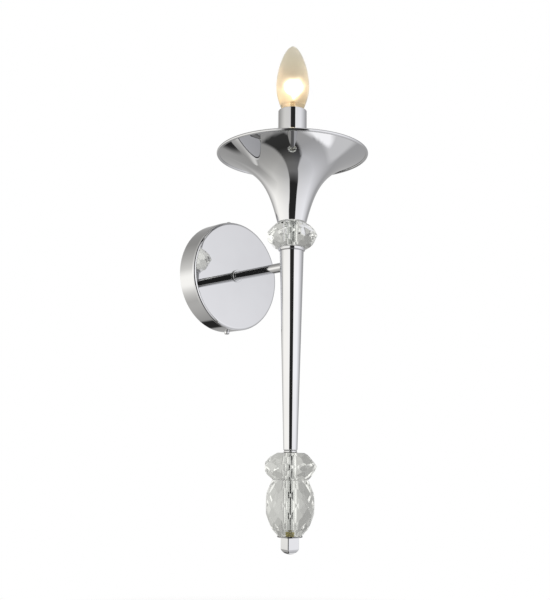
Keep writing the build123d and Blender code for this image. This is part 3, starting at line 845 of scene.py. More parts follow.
def joined(name: str, members: Iterable[Piece]) -> Piece:
    """Gather several objects into one piece.

    Args:
        name: Name of the piece.
        members: Objects to gather, which are dropped.

    Returns:
        The piece.
    """
    shape = bmesh.new()
    for member in members:
        shape.from_mesh(member.data)
        bpy.data.objects.remove(member)
    return finished(shape, name)


def wire(shape: Shape, path: Sequence[Vector], radius: float, sides: int = 10) -> None:
    """Add a round wire along a path.

    Args:
        shape: Shape that takes the wire.
        path: Points along its middle.
        radius: Radius of the wire.
        sides: Steps round the wire.
    """
    loops = []
    across = None
    for index, place in enumerate(path):
        ahead = (path[min(index + 1, len(path) - 1)] - path[max(index - 1, 0)]).normalized()
        across = ahead.orthogonal() if across is None else across - ahead * across.dot(ahead)
        across.normalize()
        beside = ahead.cross(across)
        loop = []
        for side in range(sides):
            angle = math.tau * side / sides
            outward = across * math.cos(angle) + beside * math.sin(angle)
            loop.append(shape.verts.new(place + outward * radius))
        loops.append(loop)
    for first, second in zip(loops, loops[1:]):
        bridge(shape, first, second)
    shape.faces.new(loops[0])
    shape.faces.new(loops[-1])


def give(piece: Piece, finish: Finish) -> None:
    """Give an object one finish in place of what it had."""
    piece.data.materials.clear()
    piece.data.materials.append(finish.material())


def fit(piece: Piece, finish: Finish, node: str, body: Body = Body.FIXTURE) -> None:
    """Give a new piece its finish and set it on its body in place of its node.

    Args:
        piece: The new piece.
        finish: Its finish.
        node: Node of the frame that it stands for.
        body: Body that it rides on.
    """
    give(piece, finish)
    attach(piece, body.value)
    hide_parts(node)
    LOG.info("%s: %d faces, %s, for %s", piece.name, len(piece.data.polygons), finish.name, node)


def fit_softened(node: str, name: str, edge: float, finish: Finish) -> None:
    """Put a copy with broken edges in the place of a node.

    Args:
        node: Node of the frame.
        name: Name of the piece.
        edge: Width of the broken edges.
        finish: Finish of the piece.
    """
    fit(softened(node, name, edge), finish, node)


def dress(finish: Finish, *nodes: str) -> None:
    """Give nodes of the frame their finish.

    Args:
        finish: The finish.
        *nodes: Nodes that take it.
    """
    for node in nodes:
        give(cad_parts[node], finish)
        LOG.info("%s: node of the frame, %s", node, finish.name)


NIPPLE = NodeBox.of("nipple")
ARM_TUBE = NodeBox.of("arm_tube")
TIE_ROD = NodeBox.of("tie_rod")
LAMP_BOX = NodeBox.of("bulb_glass")
FILAMENT_BOX = NodeBox.of("filament")

STEM = Spindle(Vector((NIPPLE.centre.x, NIPPLE.centre.y, 0.0)), UP)
ARM = Spindle(Vector((ARM_TUBE.centre.x, 0.0, ARM_TUBE.centre.z)), Vector((0.0, -1.0, 0.0)))

CHROME_LIGHT = (0.62, 0.622, 0.63)
CHROME_DULL = (0.60, 0.602, 0.61)
CHROME = Metal("chrome_plate", CHROME_LIGHT, CHROME_DULL, (0.0, 0.02), cloud=25.0, mark=1200.0)
SOFT_CHROME = Metal("soft_chrome", CHROME_LIGHT, CHROME_DULL, (0.05, 0.07), cloud=25.0, mark=1200.0)
# Chrome darkened to about half the tone of plain chrome: painted shade of the narrow gap between the drop
# and the finial, laid on the washer there.
WASHER_GAP_SHADE_CHROME = Metal("chrome_with_painted_gap_shade", (0.30, 0.30, 0.30), (0.24, 0.24, 0.24), (0.12, 0.22), cloud=120.0)
ZINC = Metal(
    "zinc_plate", (0.60, 0.61, 0.62), (0.43, 0.44, 0.43), (0.20, 0.42), cloud=140.0, depth=0.02 * MM
)
BRASS = Metal(
    "turned_brass", (0.58, 0.45, 0.19), (0.42, 0.31, 0.11), (0.14, 0.34), cloud=160.0, depth=0.01 * MM
)
OLD_BRASS = Metal(
    "old_brass", (0.40, 0.35, 0.14), (0.32, 0.28, 0.11), (0.22, 0.34), cloud=160.0, depth=0.01 * MM
)
NICKEL = Metal("nickel_plate", (0.66, 0.63, 0.57), (0.52, 0.49, 0.44), (0.12, 0.28), cloud=150.0)
CRYSTAL = ClearGlass(
    "cut_crystal", (0.985, 0.99, 0.975), 1.46, (0.0, 0.02), mark=700.0, mark_range=(0.5, 0.8)
)
MOUNT_GLASS = ClearGlass("mount_glass", (0.62, 0.50, 0.36), 1.5, (0.0, 0.08))
PAD_FILM = ClearGlass("pad_film", (0.97, 0.97, 0.96), 1.46, (0.1, 0.3))
LAMP_GLASS = LampGlass(
    "etched_lamp_glass",
    crown=(0.89, 0.865, 0.82),
    neck=(0.77, 0.63, 0.45),
    span=(LAMP_BOX.low.z, LAMP_BOX.high.z),
    etch=(0.22, 0.50),
    glow=(1.0, 0.97, 0.70),
    glow_strength=0.05,
)
CAP_INSULATOR = Moulding(
    "cap_insulator", (0.02, 0.02, 0.022), (0.035, 0.03, 0.03), (0.12, 0.3), 0.01 * MM
)
HOLDER_PLASTIC = Moulding(
    "holder_plastic_moulding", (0.80, 0.78, 0.72), (0.74, 0.72, 0.66), (0.35, 0.5), 0.02 * MM
)
BLOCK_PLASTIC = Moulding(
    "block_moulding", (0.82, 0.82, 0.79), (0.75, 0.75, 0.72), (0.4, 0.55), 0.03 * MM
)
LIVE_SLEEVING = WireSleeving("live_sleeving", (0.22, 0.10, 0.045), (0.24, 0.11, 0.05))
NEUTRAL_SLEEVING = WireSleeving("neutral_sleeving", (0.03, 0.12, 0.42), (0.035, 0.14, 0.46))
EARTH_SLEEVING = WireSleeving("earth_sleeving", (0.05, 0.32, 0.07), (0.80, 0.68, 0.05), width=0.25)
HOT_WIRE = HotWire(
    "hot_filament",
    metal=(0.35, 0.34, 0.33),
    light=(1.0, 0.90, 0.74),
    strength=600.0,
    hot_from=FILAMENT_BOX.high.z - 4.0 * MM,
)


@dataclass(frozen=True)
class SlottedScrew:
    """Screw with a domed, slotted head.

    Attributes:
        head_r: Radius of the head.
        head_h: Height of the head.
        dome: Rounding of the head's top edge.
        shank_r: Crest radius of the shank.
        shank_length: Length under the head.
        pitch: Pitch of the thread.
        slot_w: Width of the driver slot.
        slot_depth: Depth of the driver slot.
        groove: Depth of the thread as a share of its pitch.
        dome_steps: Straight steps in the rounded edge.
        segments: Steps round the axis.
    """

    head_r: float
    head_h: float
    dome: float
    shank_r: float
    shank_length: float
    pitch: float
    slot_w: float
    slot_depth: float
    groove: float = 0.6
    dome_steps: int = 8
    segments: int = 64

    def build(self, name: str, seat: Spindle) -> Piece:
        """Make the screw.

        Args:
            name: Name of the object.
            seat: Axis from the middle of the head's seat out through the head.

        Returns:
            The screw.
        """
        end = -self.shank_length
        thread = Thread(self.pitch, self.groove * self.pitch, end, 0.0)
        tip = self.shank_r - thread.depth
        outline = [(0.0, end - ON_AXIS), (tip, end - ON_AXIS)]
        for radius, height in thread.stations(self.shank_r):
            outline.append((min(radius, tip + (height - end)), height))
        outline += [(self.head_r, 0.0), (self.head_r, self.head_h - self.dome)]
        for step in range(1, self.dome_steps + 1):
            angle = math.pi / 2.0 * step / self.dome_steps
            radius = self.head_r - self.dome * (1.0 - math.cos(angle))
            outline.append((radius, self.head_h - self.dome * (1.0 - math.sin(angle))))
        outline.append((0.0, self.head_h))
        screw = spin(name, outline, seat, self.segments, thread)
        return carve(screw, self.slot_cutter(seat))

    def slot_cutter(self, seat: Spindle) -> Piece:
        """Make the block that cuts the driver slot, longer than the head is wide.

        Args:
            seat: Axis of the screw.

        Returns:
            The block.
        """
        size = Matrix.Diagonal((3.0 * self.head_r, self.slot_w, 2.0 * self.slot_depth, 1.0))
        shape = bmesh.new()
        bmesh.ops.create_cube(shape, size=1.0, matrix=Matrix.Translation(UP * self.head_h) @ size)
        cutter = finished(shape, "driver_slot")
        cutter.data.transform(seat.placed())
        return cutter


@dataclass
class Canopy:
    """Round cup on the wall with a screw and a captive washer above and below.

    Attributes:
        screw: Screw of either side.
        screw_y: Distance of the screws from the wall.
        wall: Wall of the cup.
        front_edge: Rounding of the cup's front edge.
        back_edge: Rounding of its other edges.
        edge_steps: Straight steps in each rounded edge.
        segments: Steps round the cup.
        hole_gap: Gap round the screws and the arm.
        washer_edge: Rounding of the washer's edges.
        seat_gap: Gap between the washer and the screw's head.
    """

    screw: SlottedScrew = SlottedScrew(
        head_r=2.8 * MM,
        head_h=2.8 * MM,
        dome=1.5 * MM,
        shank_r=2.0 * MM,
        shank_length=8.4 * MM,
        pitch=0.7 * MM,
        slot_w=0.9 * MM,
        slot_depth=1.0 * MM,
    )
    screw_y: float = 9.0 * MM
    wall: float = 1.2 * MM
    front_edge: float = 3.0 * MM
    back_edge: float = 0.2 * MM
    edge_steps: int = 10
    segments: int = 288
    hole_gap: float = 0.2 * MM
    washer_edge: float = 0.15 * MM
    seat_gap: float = 0.02 * MM

    def build(self) -> None:
        """Make the cup with its screws and washers."""
        self.cup()
        self.side("top", UP, Body.TOP_SCREW, Body.TOP_WASHER)
        self.side("bottom", -UP, Body.BOTTOM_SCREW, Body.BOTTOM_WASHER)

    def cup(self) -> None:
        """Spin the cup and drill the holes for its screws, between two rows that keep the rest smooth."""
        box = NodeBox.of("canopy")
        outer, inner = box.radius, box.radius - self.wall
        front = box.high.y - box.low.y
        bore = ARM_TUBE.radius + self.hole_gap
        room = 2.0 * self.screw.head_r
        rows = (self.screw_y - room, self.screw_y + room)
        corners = [
            (outer, 0.0, self.back_edge),
            *((outer, row, 0.0) for row in rows),
            (outer, front, self.front_edge),
            (bore, front, self.back_edge),
            (bore, front - self.wall, 0.0),
            (inner, front - self.wall, self.back_edge),
            *((inner, row, 0.0) for row in reversed(rows)),
            (inner, 0.0, self.back_edge),
        ]
        cup = spin("canopy_cup", rounded(corners, self.edge_steps), ARM, self.segments)
        across = Spindle(Vector((ARM.origin.x, -self.screw_y, ARM.origin.z)), UP)
        drill = spin("drill", rod(self.screw.shank_r + self.hole_gap, -2.0 * outer, 2.0 * outer), across)
        fit(carve(cup, drill), CHROME, "canopy")

    def side(self, side: str, outward: Vector, screw_body: Body, washer_body: Body) -> None:
        """Make the screw and washer of one side.

        Args:
            side: Ending of the nodes' names.
            outward: Way out of the rim.
            screw_body: Body of the screw.
            washer_body: Body of the washer.
        """
        box = NodeBox.of(f"screw_washer_{side}")
        seat = Spindle(box.centre + outward * box.height / 2.0, outward)
        bore = self.screw.shank_r + self.hole_gap
        edges = (self.washer_edge, self.washer_edge)
        outline = ring(bore, box.radius, -box.height, -self.seat_gap, edges)
        washer = spin(f"captive_washer_{side}", outline, seat, self.screw.segments)
        fit(washer, CHROME, f"screw_washer_{side}", washer_body)
        screw = self.screw.build(f"rim_screw_{side}", seat)
        fit(screw, CHROME, f"canopy_screw_{side}", screw_body)


@dataclass
class WallFixing:
    """Bracket on the wall with the earth point, the terminal block and the wires.

    Attributes:
        strap_edge: Width of the bracket's broken edges.
        block_edge: Width of the terminal block's broken edges.
        tag_edge: Width of the earth tag's broken edges.
        terminal_screw: Screw of the terminal block.
        earth_screw: Screw of the earth point.
    """

    strap_edge: float = 0.25 * MM
    block_edge: float = 0.4 * MM
    tag_edge: float = 0.12 * MM
    terminal_screw: SlottedScrew = SlottedScrew(
        head_r=1.3 * MM,
        head_h=2.0 * MM,
        dome=0.25 * MM,
        shank_r=1.25 * MM,
        shank_length=1.4 * MM,
        pitch=0.45 * MM,
        slot_w=0.5 * MM,
        slot_depth=0.7 * MM,
    )
    earth_screw: SlottedScrew = SlottedScrew(
        head_r=3.5 * MM,
        head_h=2.4 * MM,
        dome=1.2 * MM,
        shank_r=2.0 * MM,
        shank_length=2.5 * MM,
        pitch=0.7 * MM,
        slot_w=0.9 * MM,
        slot_depth=1.1 * MM,
    )

    def build(self) -> None:
        """Make the fixing's pieces."""
        fit_softened("wall_bracket", "bracket_strap", self.strap_edge, ZINC)
        fit_softened("earth_tag", "crimped_earth_tag", self.tag_edge, NICKEL)
        fit_softened("terminal_block", "terminal_bar", self.block_edge, BLOCK_PLASTIC)
        dress(BRASS, "terminal_barrels")
        self.screws()
        dress(LIVE_SLEEVING, "live_wire")
        dress(NEUTRAL_SLEEVING, "neutral_wire")
        dress(EARTH_SLEEVING, "earth_wire")

    def screws(self) -> None:
        """Make the terminal screws and the earth screw."""
        box = NodeBox.of("terminal_screws")
        margin = self.terminal_screw.head_r
        seat_y = box.low.y + self.terminal_screw.head_h
        members = []
        for column in (box.low.x + margin, box.centre.x, box.high.x - margin):
            for row in (box.low.z + margin, box.high.z - margin):
                seat = Spindle(Vector((column, seat_y, row)), ARM.direction)
                members.append(self.terminal_screw.build("terminal_screw", seat))
        fit(joined("slotted_terminal_screws", members), ZINC, "terminal_screws")
        box = NodeBox.of("earth_screw")
        spot = Vector((box.centre.x, box.low.y + self.earth_screw.head_h, box.centre.z))
        screw = self.earth_screw.build("slotted_earth_screw", Spindle(spot, ARM.direction))
        fit(screw, BRASS, "earth_screw")


@dataclass
class Arm:
    """Level tube from the canopy to the stem, with its collar, washer and nut.

    Attributes:
        thread_pitch: Pitch of the thread at the wall end.
        thread_depth: Depth of that thread.
        thread_start: Plain length before it.
        thread_length: Length to its end.
        tube_wall: Wall of the tube.
        segments: Steps round the tube.
        collar_edge: Rounding of the collar's front edge.
        collar_seat_edge: Rounding of its other edges.
        nut_edge: Width of the nut's broken edges.
        washer_edge: Width of the washer's broken edges.
    """

    thread_pitch: float = 1.0 * MM
    thread_depth: float = 0.55 * MM
    thread_start: float = 0.2 * MM
    thread_length: float = 8.6 * MM
    tube_wall: float = 1.0 * MM
    segments: int = 96
    collar_edge: float = 0.5 * MM
    collar_seat_edge: float = 0.1 * MM
    nut_edge: float = 0.35 * MM
    washer_edge: float = 0.15 * MM

    def build(self) -> None:
        """Make the arm's pieces."""
        self.pipe()
        self.collar()
        fit_softened("arm_lock_nut", "arm_hex_nut", self.nut_edge, ZINC)
        fit_softened("arm_lock_washer", "arm_flat_washer", self.washer_edge, ZINC)

    def pipe(self) -> None:
        """Make the tube with its thread."""
        start, end = -ARM_TUBE.high.y, -ARM_TUBE.low.y
        radius = ARM_TUBE.radius
        bore = radius - self.tube_wall
        span = (start + self.thread_start, start + self.thread_length)
        thread = Thread(self.thread_pitch, self.thread_depth, *span)
        outline = [(bore, end), (bore, start), (radius - self.thread_depth, start)]
        outline += [*thread.stations(radius), (radius, end)]
        pipe = spin("arm_pipe", outline, ARM, self.segments, thread)
        fit(pipe, SOFT_CHROME, "arm_tube")

    def collar(self) -> None:
        """Make the collar in front of the canopy."""
        box = NodeBox.of("arm_collar")
        back, front = -box.high.y, -box.low.y
        corners = [
            (ARM_TUBE.radius, back, 0.0),
            (box.radius, back, self.collar_seat_edge),
            (box.radius, front, self.collar_edge),
            (ARM_TUBE.radius, front, self.collar_seat_edge),
        ]
        fit(spin("arm_rosette", rounded(corners), ARM), CHROME, "arm_collar")


@dataclass
class Stem:
    """Tapered tube under the horn with its top ring, foot and inner hub.

    Attributes:
        wall: Wall of the tube.
        bottom_r: Radius of the tube's lower end.
        tube_edges: Rounding of the tube's lower and upper edge.
        tube_segments: Steps round the tube.
        arm_fit: Gap round the arm in the tube's hole.
        arm_room: Half height of the plain band about that hole.
        arm_segments: Steps round that hole.
        ring_edges: Rounding of the top ring's lower and upper edge.
        ring_segments: Steps round the top ring and the foot.
        nipple_fit: Gap round the nipple.
        foot_flange: Thickness of the foot's flange.
        foot_edges: Rounding of the flange's lower and upper edge.
        spigot_r: Radius of the foot's spigot inside the tube.
        spigot_edge: Rounding of the spigot's upper edge.
        undercut: Depth and height of the undercut below the spigot.
        rod_fit: Gap round the tie rod.
    """

    wall: float = 1.0 * MM
    bottom_r: float = 7.05 * MM
    tube_edges: Point = (0.85 * MM, 0.4 * MM)
    tube_segments: int = 256
    arm_fit: float = 0.2 * MM
    arm_room: float = 7.0 * MM
    arm_segments: int = 96
    ring_edges: Point = (1.3 * MM, 0.5 * MM)
    ring_segments: int = 192
    nipple_fit: float = 0.2 * MM
    foot_flange: float = 2.1 * MM
    foot_edges: Point = (0.7 * MM, 0.9 * MM)
    spigot_r: float = 5.95 * MM
    spigot_edge: float = 0.3 * MM
    undercut: Point = (0.3 * MM, 0.6 * MM)
    rod_fit: float = 0.2 * MM

    def build(self) -> None:
        """Make the stem's pieces."""
        self.tube()
        self.foot()
        dress(BRASS, "stem_hub")
        box = NodeBox.of("stem_top_ring")
        bore = NIPPLE.high.x + self.nipple_fit
        outline = ring(bore, box.radius, box.low.z, box.high.z, self.ring_edges)
        cap_ring = spin("stem_cap_ring", outline, STEM, self.ring_segments)
        fit(cap_ring, CHROME, "stem_top_ring")

    def tube(self) -> None:
        """Make the tapered tube with the arm's hole in its wall side."""
        box = NodeBox.of("stem")
        top_r = box.radius

        def radius(height: float) -> float:
            """Outer radius of the tube at a height."""
            return self.bottom_r + (top_r - self.bottom_r) * (height - box.low.z) / box.height

        rows = (ARM.origin.z - self.arm_room, ARM.origin.z + self.arm_room)
        corners = [
            (self.bottom_r - self.wall, box.low.z, 0.0),
            (self.bottom_r, box.low.z, self.tube_edges[0]),
            *((radius(row), row, 0.0) for row in rows),
            (top_r, box.high.z, self.tube_edges[1]),
            (top_r - self.wall, box.high.z, 0.0),
            *((radius(row) - self.wall, row, 0.0) for row in reversed(rows)),
        ]
        way = Spindle(Vector((STEM.origin.x, STEM.origin.y, ARM.origin.z)), -ARM.direction)
        hole = rod(ARM_TUBE.radius + self.arm_fit, 0.0, 2.0 * top_r)
        drill = spin("arm_drill", hole, way, self.arm_segments)
        tube = spin("stem_tube", rounded(corners), STEM, self.tube_segments)
        fit(carve(tube, drill), CHROME, "stem")

    def foot(self) -> None:
        """Make the turned foot that closes the tube's lower end."""
        box = NodeBox.of("stem_foot")
        bore = TIE_ROD.high.x + self.rod_fit
        shoulder = box.low.z + self.foot_flange
        corners = [
            (bore, box.low.z, 0.0),
            (box.radius, box.low.z, self.foot_edges[0]),
            (box.radius, shoulder, self.foot_edges[1]),
            (self.spigot_r - self.undercut[0], shoulder, 0.0),
            (self.spigot_r, shoulder + self.undercut[1], 0.0),
            (self.spigot_r, box.high.z, self.spigot_edge),
            (bore, box.high.z, 0.0),
        ]
        foot = spin("stem_foot_plug", rounded(corners), STEM, self.ring_segments)
        fit(foot, CHROME, "stem_foot")


@dataclass
class Crystals:
    """Cut beads and drop on their tube, with the washer and the finial below.

    Attributes:
        bore: Radius of the crystals' bores.
        bore_slack: Reach past that radius within which faces belong to the old bore.
        bore_segments: Steps round a bore.
        crease: Angle in degrees above which an edge between facets stays sharp.
        tube_edge: Rounding of the tube's and the bush's ends.
        washer_edge: Rounding of the washer's edges.
        turned_segments: Steps round the tube, the bush and the washer.
        rod_fit: Gap round the tie rod.
        finial_w: Width over the finial's flats.
        finial_dome: Height of the finial's four-sided dome.
        finial_turn: Turn of the finial in degrees.
        finial_edge: Width of the finial's broken edges.
        finial_edge_share: Largest share of the half width that such an edge takes.
        finial_crease: Angle in degrees above which an edge of the finial stays sharp.
        finial_bore: Depth of the finial's tapped hole.
        flat_points: Points across one flat of the finial.
        dome_steps: Sections in the finial's dome.
    """

    bore: float = 5.2 * MM
    bore_slack: float = 0.2 * MM
    bore_segments: int = 144
    crease: float = 4.0
    tube_edge: float = 0.2 * MM
    washer_edge: float = 0.3 * MM
    turned_segments: int = 192
    rod_fit: float = 0.2 * MM
    finial_w: float = 13.4 * MM
    finial_dome: float = 5.0 * MM
    finial_turn: float = -9.0
    finial_edge: float = 0.62 * MM
    finial_edge_share: float = 0.3
    finial_crease: float = 18.0
    finial_bore: float = 9.0 * MM
    flat_points: int = 8
    dome_steps: int = 16

    def build(self) -> None:
        """Make the crystals and what holds them."""
        for node in ("upper_bead", "middle_bead", "lower_drop"):
            fit(self.drilled(node, f"{node}_crystal"), CRYSTAL, node)
        dress(PAD_FILM, "crystal_pads")
        dress(ZINC, "tie_rod")
        self.turned("bead_sleeve", "bead_tube", CHROME, self.tube_edge)
        self.turned("drop_bush", "drop_bush_turned", OLD_BRASS, self.tube_edge)
        # The washer takes the darkened chrome, which paints the shade of the gap between the drop and the
        # finial.
        self.turned("drop_washer", "drop_cup_washer", WASHER_GAP_SHADE_CHROME, self.washer_edge)
        self.finial()

    def drilled(self, node: str, name: str) -> Piece:
        """Copy the facets of a crystal and drill its bore afresh, fine and smooth.

        Args:
            node: Crystal of the frame.
            name: Name of the new object.

        Returns:
            The crystal.
        """
        shape = copied(node)
        wall = []
        for face in shape.faces:
            reach = max((spot.co.xy - STEM.origin.xy).length for spot in face.verts)
            if reach < self.bore + self.bore_slack:
                wall.append(face)
        bmesh.ops.delete(shape, geom=wall, context="FACES")
        bmesh.ops.holes_fill(shape, edges=[line for line in shape.edges if line.is_boundary], sides=0)
        merge_flats(shape)
        piece = finished(shape, name)
        box = NodeBox.of(node)
        hole = rod(self.bore, box.low.z - MM, box.high.z + MM)
        return carve(piece, spin("drill", hole, STEM, self.bore_segments), self.crease)

    def turned(self, node: str, name: str, finish: Finish, edge: float) -> None:
        """Make a ring that the tie rod passes through.

        Args:
            node: Node that it stands for.
            name: Name of the piece.
            finish: Its finish.
            edge: Rounding of its outer edges.
        """
        box = NodeBox.of(node)
        bore = TIE_ROD.high.x + self.rod_fit
        outline = ring(bore, box.radius, box.low.z, box.high.z, (edge, edge))
        fit(spin(name, outline, STEM, self.turned_segments), finish, node)

    def section(self, half: float, level: float) -> list[Vector]:
        """Find one level section of the finial.

        Args:
            half: Half the width over the flats there.
            level: Height of the section.

        Returns:
            The section's points round the stem.
        """
        reach = half - min(self.finial_edge, self.finial_edge_share * half)
        points = []
        for quarter in range(4):
            turn = Matrix.Rotation(math.radians(self.finial_turn + 90.0 * quarter), 3, "Z")
            for step in range(self.flat_points):
                along = reach * (2.0 * step / (self.flat_points - 1) - 1.0)
                points.append(STEM.origin + turn @ Vector((half, along, 0.0)) + UP * level)
        return points

    def finial(self) -> None:
        """Make the square finial with flat broken edges, a four-sided dome and a tapped hole."""
        box = NodeBox.of("finial")
        top = box.high.z
        half = self.finial_w / 2.0
        dome_r = (half**2 + self.finial_dome**2) / (2.0 * self.finial_dome)
        sections = []
        for step in range(1, self.dome_steps + 1):
            rise = self.finial_dome * (step / self.dome_steps) ** 2
            sections.append(self.section(math.sqrt(dome_r**2 - (dome_r - rise) ** 2), box.low.z + rise))
        sections.append(self.section(half, top - self.finial_edge))
        sections.append(self.section(half - self.finial_edge, top))
        bore = TIE_ROD.high.x + self.rod_fit
        for depth in (0.0, self.finial_bore):
            mouth = []
            for point in sections[-1]:
                out = Vector((point.x - STEM.origin.x, point.y - STEM.origin.y, 0.0)).normalized()
                mouth.append(STEM.origin + out * bore + UP * (top - depth))
            sections.append(mouth)
        ends = (STEM.origin + UP * box.low.z, STEM.origin + UP * (top - self.finial_bore))
        shape = bmesh.new()
        loops = []
        for section in ([ends[0]], *sections, [ends[1]]):
            loops.append([shape.verts.new(point) for point in section])
        for first, second in zip(loops, loops[1:]):
            bridge(shape, first, second)
        fit(finished(shape, "square_finial", self.finial_crease), CHROME, "finial")


@dataclass
class Horn:
    """Flared horn with the candle sleeve and the fixings at its floor.

    Attributes:
        wall: Wall of the horn and of the sleeve.
        throat_r: Radius at the horn's floor.
        throat_lean: Lean of the flare at the floor, in degrees from upright.
        throat_pull: Reach of that lean.
        rim_rise: Rise of the flare at the rim, in degrees from level.
        rim_pull: Reach of that rise.
        flare_steps: Straight steps along the flare.
        lip_r: Radius of the rolled lip.
        lip_steps: Straight steps round the lip.
        lip_room: Reach about the lip's middle that the sheet leaves free, in lip radii.
        floor_edge: Height above the floor where the sheet's inside begins.
        nipple_fit: Gap round the nipple.
        sleeve_edges: Rounding of the sleeve's lower and upper edge.
        segments: Steps round the horn and the sleeve.
        nut_edge: Width of the nut's broken edges.
        washer_edge: Width of the washer's broken edges.
    """

    wall: float = 1.0 * MM
    throat_r: float = 15.15 * MM
    throat_lean: float = 14.3
    throat_pull: float = 41.0 * MM
    rim_rise: float = 20.3
    rim_pull: float = 46.5 * MM
    flare_steps: int = 96
    lip_r: float = 1.6 * MM
    lip_steps: int = 24
    lip_room: float = 1.05
    floor_edge: float = 0.3 * MM
    nipple_fit: float = 0.2 * MM
    sleeve_edges: Point = (0.2 * MM, 0.4 * MM)
    segments: int = 256
    nut_edge: float = 0.4 * MM
    washer_edge: float = 0.15 * MM

    def build(self) -> None:
        """Make the horn's pieces."""
        self.flare()
        box = NodeBox.of("candle_sleeve")
        sleeve = ring(box.radius - self.wall, box.radius, box.low.z, box.high.z, self.sleeve_edges)
        tube = spin("candle_tube", sleeve, STEM, self.segments)
        fit(tube, CHROME, "candle_sleeve")
        dress(ZINC, "sleeve_seat", "nipple")
        fit_softened("horn_nut", "horn_hex_nut", self.nut_edge, ZINC)
        fit_softened("horn_washer", "horn_flat_washer", self.washer_edge, ZINC)

    def flare(self) -> None:
        """Make the spun horn with its rolled lip."""
        box = NodeBox.of("horn")
        lean = math.radians(self.throat_lean)
        rise = math.radians(self.rim_rise)
        throat = Vector((self.throat_r, box.low.z))
        throat_handle = throat + Vector((math.sin(lean), math.cos(lean))) * self.throat_pull
        rim = Vector((box.radius - self.lip_r, box.high.z - self.lip_r))
        rim_handle = rim - Vector((math.cos(rise), math.sin(rise))) * self.rim_pull
        outside = bezier((throat, throat_handle, rim_handle, rim), self.flare_steps)
        inside = inset(outside, self.wall)
        closing = math.pi - math.asin(self.wall / self.lip_r)
        lip = []
        for step in range(self.lip_steps + 1):
            angle = rise - math.pi + (math.pi + closing) * step / self.lip_steps
            lip.append(tuple(rim + Vector((math.cos(angle), math.sin(angle))) * self.lip_r))

        def clear(place: Point) -> bool:
            """Tell whether a point of the sheet lies clear of the lip."""
            return (Vector(place) - rim).length > self.lip_room * self.lip_r

        bore = NIPPLE.high.x + self.nipple_fit
        floor = box.low.z + self.wall
        lowest = floor + self.floor_edge
        outline = [(bore, box.low.z), *filter(clear, outside), *lip]
        outline += [place for place in reversed(inside) if clear(place) and place[1] > lowest]
        outline += [(self.throat_r - self.wall, floor), (bore, floor)]
        fit(spin("spun_horn", outline, STEM, self.segments), CHROME, "horn")


@dataclass
class Lampholder:
    """Insulating holder inside the candle sleeve with its contacts.

    Attributes:
        body_edge: Width of the holder's broken edges.
    """

    body_edge: float = 0.4 * MM

    def build(self) -> None:
        """Make the holder's pieces."""
        fit_softened("lampholder", "holder_body", self.body_edge, HOLDER_PLASTIC)
        dress(BRASS, "screw_shell", "contact_leaf", "holder_terminals")


